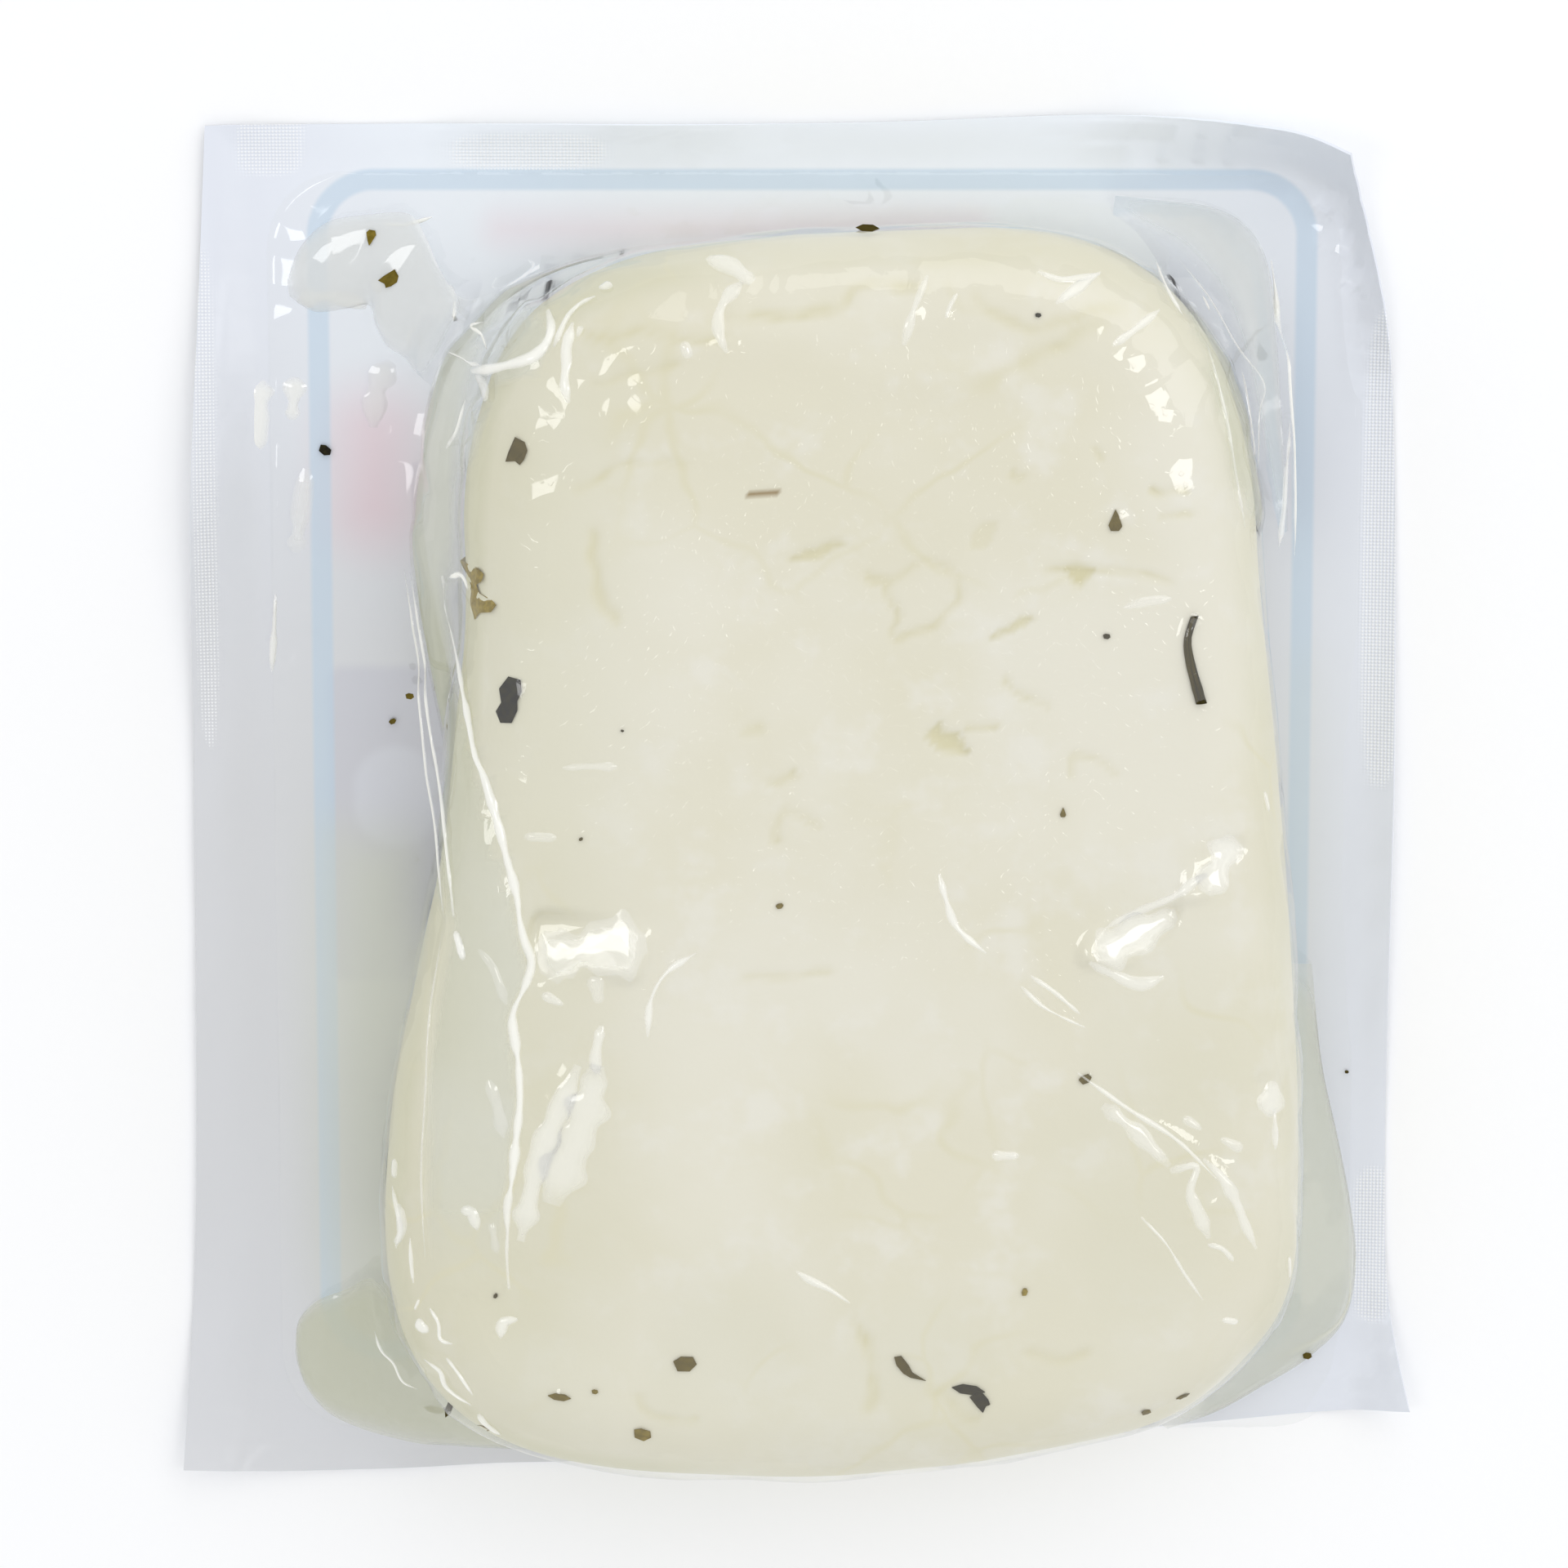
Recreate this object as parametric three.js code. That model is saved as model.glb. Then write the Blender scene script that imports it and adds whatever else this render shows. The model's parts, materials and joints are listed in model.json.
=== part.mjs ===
// A vacuum-sealed pack of halloumi, lying on its back. A block of folded cheese in a little whey is shut
// between a flat printed backing film and a clear film that was formed into a pocket and then drawn down
// on to the block. The two films are welded together all round, which leaves a thin border.
// Millimetres. +X is the pack's width, +Y its length, +Z goes from the backing film up to the cheese.
import * as THREE from "three";

// ---- Driving dimensions ---------------------------------------------------------------------------

const FILM = 0.3; // the two films where they are welded together
const LAY_GAP = 0.05; // between the backing film and the pocket that lies on it
const BLOCK_HEIGHT = 25.4; // from the table to the top of the cheese
const BLOCK_CROWN = 1.2; // how much the middle of the cheese stands above its edge
const EDGE_ROUND = 8.5; // radius of the cheese's upper edge
const SIDE_BULGE = 2.8; // how far the sides swell out past their foot

// The block's outline at its widest, a closed smooth line from the middle of its near end round by the
// right. The cheese is wider at its near end, and its far left shoulder slopes.
const BLOCK_OUTLINE = [
  [-6, -72.2], [14, -71.6], [30, -69.2], [43, -65], [51, -57.5], [53.8, -45], [53, -25], [51, 2],
  [48.6, 25], [46.6, 41], [40.5, 54], [29, 60.4], [10, 60.8], [-10, 59.2], [-25, 55], [-32.6, 46],
  [-34.4, 28], [-35.2, 8], [-38.4, -12], [-42.2, -30], [-43.6, -50], [-38.6, -64], [-27, -70.6],
];

// The slack of the formed pocket stands out round the block's foot. Each stretch: the point on the block
// that it stands out from, half its length along the block, how far it reaches and how high it is there.
const SLACK = [
  { from: [-34.6, 34], half: 34, reach: 6.5, height: 13 }, // a tent down the left side
  { from: [-38, -12], half: 26, reach: 4.5, height: 12 },
  { from: [-30.5, 50.5], half: 13, reach: 19, height: 5 }, // the drawn-out far left corner
  { from: [44.5, 48], half: 20, reach: 6, height: 7 }, // the folded far right corner
  { from: [-40.5, -61], half: 15, reach: 10.5, height: 5.5 }, // whey in the near left corner
  { from: [53.5, -46], half: 22, reach: 3, height: 7 }, // and down the right side
];

// The backing film's four cut edges, each from its first corner to its last. They are a little out of
// square.
const FAR_EDGE = [[-61.2, 69.4], [-30, 69.6], [4, 69.6], [34, 70.6], [50, 69.8], [57.2, 67.4]];
const NEAR_EDGE = [[-65.6, -75.5], [-52, -76.2], [-30, -75.4], [10, -74], [44, -71], [66, -68.7]];
const LEFT_EDGE = [[-65.6, -75.5], [-63.9, -45], [-63.4, 0], [-63.2, 28], [-62.2, 50], [-61.2, 69.4]];
const RIGHT_EDGE = [[66, -68.7], [63.6, -55], [63.2, -30], [63.4, 5], [62.9, 36], [61.4, 51], [57.2, 67.4]];
const FILM_COLUMNS = 26;
const FILM_ROWS = 30;

// The film lies flat as far as this rounded rectangle. Its border curls up beyond it.
const FLAT = { left: -54.5, right: 57, near: -70.5, far: 64, round: 8 };
// Each curl: where on the border it is highest, how far it spreads, and its height.
const CURLS = [
  { at: [57.2, 67.4], spread: 30, height: 9 },
  { at: [66, -68.7], spread: 18, height: 3.2 },
  { at: [63.4, -6], spread: 34, height: 0.9 },
  { at: [-63.3, 30], spread: 30, height: 2.2 },
  { at: [-65.6, -75.5], spread: 22, height: 2.4 },
  { at: [-18, 69.6], spread: 24, height: 1.4 },
];
const CURL_POWER = 1.6; // the curls steepen towards the cut edge

const RING_POINTS = 128; // round the block
const SLACK_STEPS = 5; // up the slack's rounded edge and in to the block
const SIDE_STEPS = 4; // up the block's side
const ROUND_STEPS = 6; // up its rounded edge
const CAP_STEPS = 5; // from the rounded edge in to the middle

// ---- Helpers --------------------------------------------------------------------------------------

const QUARTER = Math.PI / 2;
const clamp01 = (t) => Math.min(1, Math.max(0, t));
const smooth = (t) => t * t * (3 - 2 * t);
const average = (values) => values.reduce((sum, v) => sum + v, 0) / values.length;

// Evenly spaced points on the closed smooth line through the given ones, with their outward directions.
function closedOutline(points, count) {
  const curve = new THREE.CatmullRomCurve3(
    points.map(([x, y]) => new THREE.Vector3(x, y, 0)), true, "centripetal");
  const spaced = curve.getSpacedPoints(count).slice(0, count);
  return spaced.map((p, i) => {
    const before = spaced[(i + count - 1) % count];
    const after = spaced[(i + 1) % count];
    const along = after.clone().sub(before).normalize();
    return { x: p.x, y: p.y, outX: along.y, outY: -along.x };
  });
}

function solidGeometry(points, index) {
  const geometry = new THREE.BufferGeometry();
  geometry.setAttribute("position", new THREE.Float32BufferAttribute(points.flat(), 3));
  geometry.setIndex(index);
  geometry.computeVertexNormals();
  return geometry;
}

// A closed solid from rings with the same number of points, from the lowest up, run anticlockwise.
function loft(rings) {
  const count = rings[0].length;
  const points = rings.flat();
  const middle = (ring) => [0, 1, 2].map((axis) => average(ring.map((p) => p[axis])));
  const foot = points.push(middle(rings[0])) - 1;
  const crown = points.push(middle(rings[rings.length - 1])) - 1;
  const top = (rings.length - 1) * count;
  const index = [];
  for (let i = 0; i < count; i++) {
    const next = (i + 1) % count;
    index.push(foot, next, i);
    for (let low = 0; low < top; low += count) {
      const high = low + count;
      index.push(low + i, low + next, high + next, low + i, high + next, high + i);
    }
    index.push(top + i, top + next, crown);
  }
  return solidGeometry(points, index);
}

// ---- Backing film ---------------------------------------------------------------------------------

// How far a point lies outside the flat part of the film.
function outsideFlat(x, y) {
  const alongX = Math.abs(x - (FLAT.left + FLAT.right) / 2) - (FLAT.right - FLAT.left) / 2 + FLAT.round;
  const alongY = Math.abs(y - (FLAT.near + FLAT.far) / 2) - (FLAT.far - FLAT.near) / 2 + FLAT.round;
  const past = Math.hypot(Math.max(alongX, 0), Math.max(alongY, 0));
  return Math.max(0, past - FLAT.round);
}

// How high the film's border stands off the table at a point.
function lift(x, y) {
  const out = outsideFlat(x, y);
  const heights = CURLS.map(({ at: [curlX, curlY], spread, height }) => {
    const nearness = smooth(clamp01(1 - Math.hypot(x - curlX, y - curlY) / spread));
    return height * nearness * Math.min(1, out / outsideFlat(curlX, curlY)) ** CURL_POWER;
  });
  return heights.reduce((sum, h) => sum + h, 0);
}

// The point of the film at u across and v along, blended from its four edges.
function filmPoint(u, v) {
  const on = (edge, t) => {
    const curve = new THREE.SplineCurve(edge.map(([x, y]) => new THREE.Vector2(x, y)));
    return curve.getPoint(t);
  };
  const far = on(FAR_EDGE, u);
  const near = on(NEAR_EDGE, u);
  const left = on(LEFT_EDGE, v);
  const right = on(RIGHT_EDGE, v);
  const blend = (axis) => {
    const edges = (1 - v) * near[axis] + v * far[axis] + (1 - u) * left[axis] + u * right[axis];
    const corners = (1 - v) * ((1 - u) * on(NEAR_EDGE, 0)[axis] + u * on(NEAR_EDGE, 1)[axis])
      + v * ((1 - u) * on(FAR_EDGE, 0)[axis] + u * on(FAR_EDGE, 1)[axis]);
    return edges - corners;
  };
  return [blend("x"), blend("y")];
}

function backingFilm() {
  const points = [];
  for (const up of [0, FILM]) {
    for (let row = 0; row <= FILM_ROWS; row++) {
      for (let column = 0; column <= FILM_COLUMNS; column++) {
        const [x, y] = filmPoint(column / FILM_COLUMNS, row / FILM_ROWS);
        points.push([x, y, lift(x, y) + up]);
      }
    }
  }
  const across = FILM_COLUMNS + 1;
  const layer = across * (FILM_ROWS + 1);
  const farRow = FILM_ROWS * across;
  const index = [];
  const quad = (a, b, c, d) => index.push(a, b, c, a, c, d);
  for (let row = 0; row < FILM_ROWS; row++) {
    const start = row * across;
    for (let a = start; a < start + FILM_COLUMNS; a++) {
      quad(a, a + across, a + across + 1, a + 1);
      quad(layer + a, layer + a + 1, layer + a + across + 1, layer + a + across);
    }
  }
  const rim = (from, to) => quad(from, to, to + layer, from + layer);
  for (let column = 0; column < FILM_COLUMNS; column++) {
    rim(column, column + 1);
    rim(farRow + column + 1, farRow + column);
  }
  for (let start = 0; start < farRow; start += across) {
    rim(start + across, start);
    rim(start + FILM_COLUMNS, start + across + FILM_COLUMNS);
  }
  return solidGeometry(points, index);
}

// ---- Filled pocket --------------------------------------------------------------------------------

// How far the slack stands out from a point of the block, and how high it is.
function slackAt(x, y) {
  let reach = 0;
  let height = 0;
  for (const stretch of SLACK) {
    const share = smooth(clamp01(1 - Math.hypot(x - stretch.from[0], y - stretch.from[1]) / stretch.half));
    reach = Math.max(reach, stretch.reach * share);
    height = Math.max(height, stretch.height * Math.sqrt(share));
  }
  return { reach, height };
}

function filledPocket() {
  const foot = FILM + LAY_GAP;
  const outline = closedOutline(BLOCK_OUTLINE, RING_POINTS).map((p) => ({ ...p, ...slackAt(p.x, p.y) }));
  const shoulder = BLOCK_HEIGHT - BLOCK_CROWN - EDGE_ROUND;
  const swell = (z) => SIDE_BULGE * (Math.sin((z / shoulder) * QUARTER) - 1);
  const at = (p, out, z) => [p.x + p.outX * out, p.y + p.outY * out, z];
  const rings = [];
  // the slack's rounded edge, from where it leaves the backing film in to the block's side
  for (let s = 0; s < SLACK_STEPS; s++) {
    const turn = (s / SLACK_STEPS) * QUARTER;
    rings.push(outline.map((p) => {
      const z = foot + (p.height + 1) * Math.sin(turn);
      return at(p, swell(z) + p.reach * Math.cos(turn), z);
    }));
  }
  // the block's own side, from the slack up
  for (let s = 0; s < SIDE_STEPS; s++) {
    rings.push(outline.map((p) => {
      const low = foot + p.height + 1;
      const z = low + (shoulder - low) * (s / SIDE_STEPS);
      return at(p, swell(z), z);
    }));
  }
  for (let s = 0; s <= ROUND_STEPS; s++) {
    const turn = (s / ROUND_STEPS) * QUARTER;
    const out = EDGE_ROUND * (Math.cos(turn) - 1);
    rings.push(outline.map((p) => at(p, out, shoulder + EDGE_ROUND * Math.sin(turn))));
  }
  const edge = rings[rings.length - 1];
  const middleX = average(edge.map((p) => p[0]));
  const middleY = average(edge.map((p) => p[1]));
  for (let s = 1; s < CAP_STEPS; s++) {
    const inward = s / CAP_STEPS;
    const z = BLOCK_HEIGHT - BLOCK_CROWN + BLOCK_CROWN * Math.sin(inward * QUARTER);
    rings.push(edge.map(([x, y]) => [x + (middleX - x) * inward, y + (middleY - y) * inward, z]));
  }
  return loft(rings);
}

// ---- The pack -------------------------------------------------------------------------------------

function piece(name, geometry, look) {
  const mesh = new THREE.Mesh(geometry, new THREE.MeshStandardMaterial(look));
  mesh.name = name;
  return mesh;
}

const pack = new THREE.Group();
pack.add(piece("backing_film", backingFilm(), { color: 0xdcdfe8, roughness: 0.25, metalness: 0 }));
pack.add(piece("filled_pocket", filledPocket(), { color: 0xe4dfcb, roughness: 0.12, metalness: 0 }));

// The origin is the middle of the pack's box, on the table.
const box = new THREE.Box3().setFromObject(pack);
pack.position.set(-(box.min.x + box.max.x) / 2, -(box.min.y + box.max.y) / 2, 0);

export default pack;
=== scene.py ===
# %% [markdown]
# # A vacuum pack of halloumi
# The pack lies on its printed backing film with the clear side up. Inside the clear film are one block of
# folded cheese, a little whey and some dried mint. The camera looks down on it from a little beyond its far
# end. Lengths in this lesson are given in millimetres and turned into Blender's metres at the last moment.

# %% Load the frame
import json
import math

import bpy
import numpy as np
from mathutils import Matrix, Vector

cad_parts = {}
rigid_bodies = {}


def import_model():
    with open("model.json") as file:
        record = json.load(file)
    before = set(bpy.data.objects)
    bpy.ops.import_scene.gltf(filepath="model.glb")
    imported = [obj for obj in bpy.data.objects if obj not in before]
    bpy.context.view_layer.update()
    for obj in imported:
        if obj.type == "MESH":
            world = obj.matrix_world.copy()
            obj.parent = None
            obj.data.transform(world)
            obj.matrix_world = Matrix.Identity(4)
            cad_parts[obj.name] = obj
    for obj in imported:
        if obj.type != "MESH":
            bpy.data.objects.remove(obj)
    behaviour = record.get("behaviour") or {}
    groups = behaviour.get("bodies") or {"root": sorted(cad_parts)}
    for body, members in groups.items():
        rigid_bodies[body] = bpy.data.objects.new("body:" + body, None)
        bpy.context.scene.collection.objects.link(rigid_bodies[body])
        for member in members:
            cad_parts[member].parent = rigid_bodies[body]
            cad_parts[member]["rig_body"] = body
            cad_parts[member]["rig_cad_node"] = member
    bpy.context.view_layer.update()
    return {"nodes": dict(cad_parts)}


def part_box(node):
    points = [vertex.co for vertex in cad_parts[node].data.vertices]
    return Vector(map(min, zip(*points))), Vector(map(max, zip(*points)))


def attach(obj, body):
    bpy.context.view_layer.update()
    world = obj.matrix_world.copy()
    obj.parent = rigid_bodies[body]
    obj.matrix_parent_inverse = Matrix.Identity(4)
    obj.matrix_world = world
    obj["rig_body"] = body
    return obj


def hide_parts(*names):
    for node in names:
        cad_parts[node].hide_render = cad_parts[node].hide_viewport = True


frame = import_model()
BODY = "root"

# %% [markdown]
# ## Where things are
# The part's own origin is the middle of its box. The sizes below were worked out from another zero point, the
# middle of the printed frame, so everything moves by the same small step. The step comes from the low corner
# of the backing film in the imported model, whose place before the step is given here.

# %% The zero point of the sizes
MM = 0.001
FILM_LOW_CORNER = (-65.6, -76.2)
film_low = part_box("backing_film")[0]
SHIFT = np.array([film_low.x / MM - FILM_LOW_CORNER[0], film_low.y / MM - FILM_LOW_CORNER[1], 0.0])
FILM_TOP = 0.3
BLOCK_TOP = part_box("filled_pocket")[1].z / MM
print("step to the part's origin:", SHIFT.round(2), "mm; top of the block:", round(BLOCK_TOP, 2), "mm")


def to_metres(points):
    """Millimetres about the sizes' zero point, as metres in the part's frame."""
    return (np.asarray(points, float) + SHIFT) * MM


# %% [markdown]
# ## Random hills
# Cheese and slack film are uneven everywhere. One helper makes soft random hills of a given size from a small
# table of seeded random numbers, so that each run gives the same hills. Another makes flat facets with
# straight creases between them, which is how stiff film crumples.

# %% Hills and facets
LATTICE = 64


def corner_values(x, y, size, seed):
    """The four random values round each point, and how far it lies between them."""
    table = np.random.default_rng(seed).uniform(-1, 1, (LATTICE, LATTICE))
    across, along = np.asarray(x) / size + 0.37 * seed, np.asarray(y) / size + 0.61 * seed
    i, j = np.floor(across).astype(int), np.floor(along).astype(int)
    near_left = table[i % LATTICE, j % LATTICE]
    near_right = table[(i + 1) % LATTICE, j % LATTICE]
    far_left = table[i % LATTICE, (j + 1) % LATTICE]
    far_right = table[(i + 1) % LATTICE, (j + 1) % LATTICE]
    return near_left, near_right, far_left, far_right, across - i, along - j


def hills(x, y, size, seed):
    near_left, near_right, far_left, far_right, s, t = corner_values(x, y, size, seed)
    s, t = s * s * s * (s * (6 * s - 15) + 10), t * t * t * (t * (6 * t - 15) + 10)
    return (near_left * (1 - s) + near_right * s) * (1 - t) + (far_left * (1 - s) + far_right * s) * t


def facets(x, y, size, seed):
    bend = 0.35 * size
    warped_x = x + bend * hills(x, y, 2.3 * size, seed + 1)
    warped_y = y + bend * hills(x, y, 2.3 * size, seed + 2)
    near_left, near_right, far_left, far_right, s, t = corner_values(warped_x, warped_y, size, seed)
    lower = near_left + (near_right - near_left) * s + (far_right - near_right) * t
    upper = near_left + (far_left - near_left) * t + (far_right - far_left) * s
    return np.where(s > t, lower, upper)


def ramp(value, low, high):
    """0 below low, 1 above high, and a soft step between."""
    t = np.clip((value - low) / (high - low), 0, 1)
    return t * t * (3 - 2 * t)


print("hills at the middle:", hills(np.zeros(1), np.zeros(1), 20, 1).round(3))

# %% [markdown]
# ## Drawn lines
# Creases in film and cracks in cheese are lines drawn through a few points. Each helper below turns a line
# into numbers that a mesh can use: how far each of its points is from the line, on which side, and how far
# along.

# %% Smooth lines and distances


def smooth_line(points, closed=False, steps=10):
    """A smooth line through the points."""
    knots = np.asarray(points, float)
    count = len(knots)
    spans = count if closed else count - 1
    t = np.linspace(0, 1, steps, endpoint=False)[:, None]
    pieces = []
    for i in range(spans):
        picks = [i - 1, i, i + 1, i + 2]
        a, b, c, d = (knots[k % count if closed else min(max(k, 0), count - 1)] for k in picks)
        square, cube = 2 * a - 5 * b + 4 * c - d, 3 * b - a - 3 * c + d
        pieces.append(0.5 * (2 * b + (c - a) * t + square * t**2 + cube * t**3))
    if not closed:
        pieces.append(knots[-1:])
    return np.concatenate(pieces)


def evenly_spaced(line, count, closed=False):
    """The line's points, again, at even steps of its length."""
    if closed:
        line = np.vstack([line, line[:1]])
    lengths = np.concatenate([[0], np.cumsum(np.linalg.norm(np.diff(line, axis=0), axis=1))])
    stops = np.linspace(0, lengths[-1], count, endpoint=not closed)
    return np.stack([np.interp(stops, lengths, line[:, k]) for k in range(line.shape[1])], axis=1)


def near_line(points, x, y, reach):
    """For each x and y: the signed distance to the line (positive on its left) and the share along it."""
    line = evenly_spaced(smooth_line(points), 8 * len(points))
    distance, share = np.full(x.shape, 1e3), np.zeros(x.shape)
    low, high = line.min(axis=0) - reach, line.max(axis=0) + reach
    close = (x > low[0]) & (x < high[0]) & (y > low[1]) & (y < high[1])
    px, py = x[close], y[close]
    best, best_share = np.full(px.shape, 1e3), np.zeros(px.shape)
    for k in range(len(line) - 1):
        step = line[k + 1] - line[k]
        part = np.clip(((px - line[k, 0]) * step[0] + (py - line[k, 1]) * step[1]) / (step @ step), 0, 1)
        dx, dy = px - line[k, 0] - part * step[0], py - line[k, 1] - part * step[1]
        side = np.where(step[0] * dy - step[1] * dx >= 0, 1.0, -1.0)
        reached = np.hypot(dx, dy)
        better = reached < np.abs(best)
        best = np.where(better, side * reached, best)
        best_share = np.where(better, (k + part) / (len(line) - 1), best_share)
    distance[close], share[close] = best, best_share
    return distance, share


def crease(points, x, y, height, left, right, taper=0.25):
    """A crest along the line, with straight flanks of the given widths. It fades at its ends."""
    distance, share = near_line(points, x, y, 1.3 * max(left, right))
    width = np.where(distance > 0, left, right)
    ends = ramp(share, 0, taper) * ramp(1 - share, 0, taper)
    return height * ends * np.clip(1.12 - np.hypot(distance / width, 0.12), 0, 1)


def inside(polygon, x, y):
    """The distance to the polygon's edge, positive inside it."""
    corners = evenly_spaced(smooth_line(polygon, closed=True), 12 * len(polygon), closed=True)
    following = np.roll(corners, -1, axis=0)
    low, high = corners.min(axis=0) - 6, corners.max(axis=0) + 6
    close = (x > low[0]) & (x < high[0]) & (y > low[1]) & (y < high[1])
    px, py = x[close], y[close]
    best, within = np.full(px.shape, 1e3), np.zeros(px.shape, bool)
    for a, b in zip(corners, following):
        step = b - a
        part = np.clip(((px - a[0]) * step[0] + (py - a[1]) * step[1]) / (step @ step), 0, 1)
        best = np.minimum(best, np.hypot(px - a[0] - part * step[0], py - a[1] - part * step[1]))
        crosses = (a[1] > py) != (b[1] > py)
        within ^= crosses & (px < a[0] + (py - a[1]) * step[0] / (step[1] if step[1] else 1e-9))
    distance = np.full(x.shape, -1e3)
    distance[close] = np.where(within, best, -best)
    return distance


test_distance = near_line([(0, 0), (10, 0)], np.array([5.0]), np.array([2.0]), 9)[0]
print("a test line is", test_distance.round(2), "mm away")

# %% [markdown]
# ## Helpers for Blender's own tools
# Every new piece starts from one of Blender's primitives. Operators act on all that is selected, so each
# piece is made the only selected one first.

# %% Select, name and dress a piece


def only(piece):
    bpy.ops.object.select_all(action="DESELECT")
    piece.select_set(True)
    bpy.context.view_layer.objects.active = piece


def read_points(piece):
    points = np.empty(len(piece.data.vertices) * 3)
    piece.data.vertices.foreach_get("co", points)
    return points.reshape(-1, 3)


def write_points(piece, points):
    piece.data.vertices.foreach_set("co", np.asarray(points, float).ravel())
    piece.data.update()


def finish_piece(piece, name, slot, *materials):
    """Names the piece, gives it its materials, and hands it to the part's one body."""
    piece.name = piece.data.name = name
    for material in materials:
        piece.data.materials.append(material)
    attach(piece, BODY)
    print(name, "has", sum(len(face.vertices) - 2 for face in piece.data.polygons), "triangles")


def new_sheet(columns, rows):
    """A flat grid, and for each of its points the column and the row that it is in."""
    bpy.ops.object.select_all(action="DESELECT")
    bpy.ops.mesh.primitive_grid_add(x_subdivisions=columns, y_subdivisions=rows, size=1)
    sheet = bpy.context.object
    flat = read_points(sheet)
    column = np.rint((flat[:, 0] + 0.5) * columns).astype(int)
    row = np.rint((flat[:, 1] + 0.5) * rows).astype(int)
    return sheet, column, row


def join_as(pieces, name, slot, *materials):
    """Joins many pieces into one and finishes it."""
    bpy.ops.object.select_all(action="DESELECT")
    for piece in pieces:
        piece.select_set(True)
    bpy.context.view_layer.objects.active = pieces[0]
    bpy.ops.object.join()
    finish_piece(pieces[0], name, slot, *materials)


# %% [markdown]
# ## The camera
# The camera looks down at the pack, tipped by twelve degrees towards its far end, through a long lens. That
# makes the raised block cover the near border, as it does on the real one.

# %% Camera
TILT = math.radians(12)
CAMERA_DISTANCE = 800
PIXELS_PER_MM = 11.56
AIM = np.array([-1.04, -0.71, 0.0])
SENSOR_MM = 36
IMAGE_PIXELS = 1920

bpy.ops.object.select_all(action="DESELECT")
bpy.ops.object.camera_add()
camera = bpy.context.object
camera.name = "camera"
camera.data.sensor_width = SENSOR_MM
camera.data.lens = SENSOR_MM * PIXELS_PER_MM * CAMERA_DISTANCE / IMAGE_PIXELS
camera.location = to_metres(AIM + CAMERA_DISTANCE * np.array([0, math.sin(TILT), math.cos(TILT)]))
camera.rotation_euler = (-TILT, 0, 0)
bpy.context.scene.camera = camera
print("lens", round(camera.data.lens, 1), "mm")

# %% [markdown]
# ## Light and table
# Clear film shows itself by what it mirrors. Two narrow softboxes stand high up, a little to the left and to
# the right, so film that leans by about ten degrees mirrors one of them. Level film mirrors only the plain
# room, and so stays clear. A wide dim panel beyond the far right corner softens the shadow there.

# %% Softboxes, room and table


def softbox(name, place, wide, high, watts):
    bpy.ops.object.light_add(type="AREA")
    lamp = bpy.context.object
    lamp.name = name
    lamp.data.shape = "RECTANGLE"
    lamp.data.size, lamp.data.size_y = wide, high
    lamp.data.energy = watts
    lamp.location = place
    lamp.rotation_euler = (-Vector(place)).to_track_quat("-Z", "Y").to_euler()


softbox("left_softbox", (-0.45, 0.09, 1.03), 0.21, 0.42, 0.7)
softbox("right_softbox", (0.45, 0.11, 1.03), 0.19, 0.36, 0.6)
softbox("far_panel", (0.75, 1.05, 0.85), 2.2, 1.2, 5.0)

ROOM_STRENGTH = 0.86
world = bpy.data.worlds.new("room")
bpy.context.scene.world = world
world.use_nodes = True
world.node_tree.nodes["Background"].inputs["Color"].default_value = (0.97, 0.98, 1.0, 1)
world.node_tree.nodes["Background"].inputs["Strength"].default_value = ROOM_STRENGTH

bpy.ops.mesh.primitive_plane_add(size=6, location=(0, 0, 0))
table = bpy.context.object
table.name = "table"

bpy.context.scene.view_settings.view_transform = "Standard"
bpy.context.scene.view_settings.look = "None"

# %% [markdown]
# ## Materials
# A material is a small graph of nodes. The helper below keeps the graphs readable: it adds a node, sets or
# links its inputs, and hands back its output.

# %% A short hand for nodes


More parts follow.
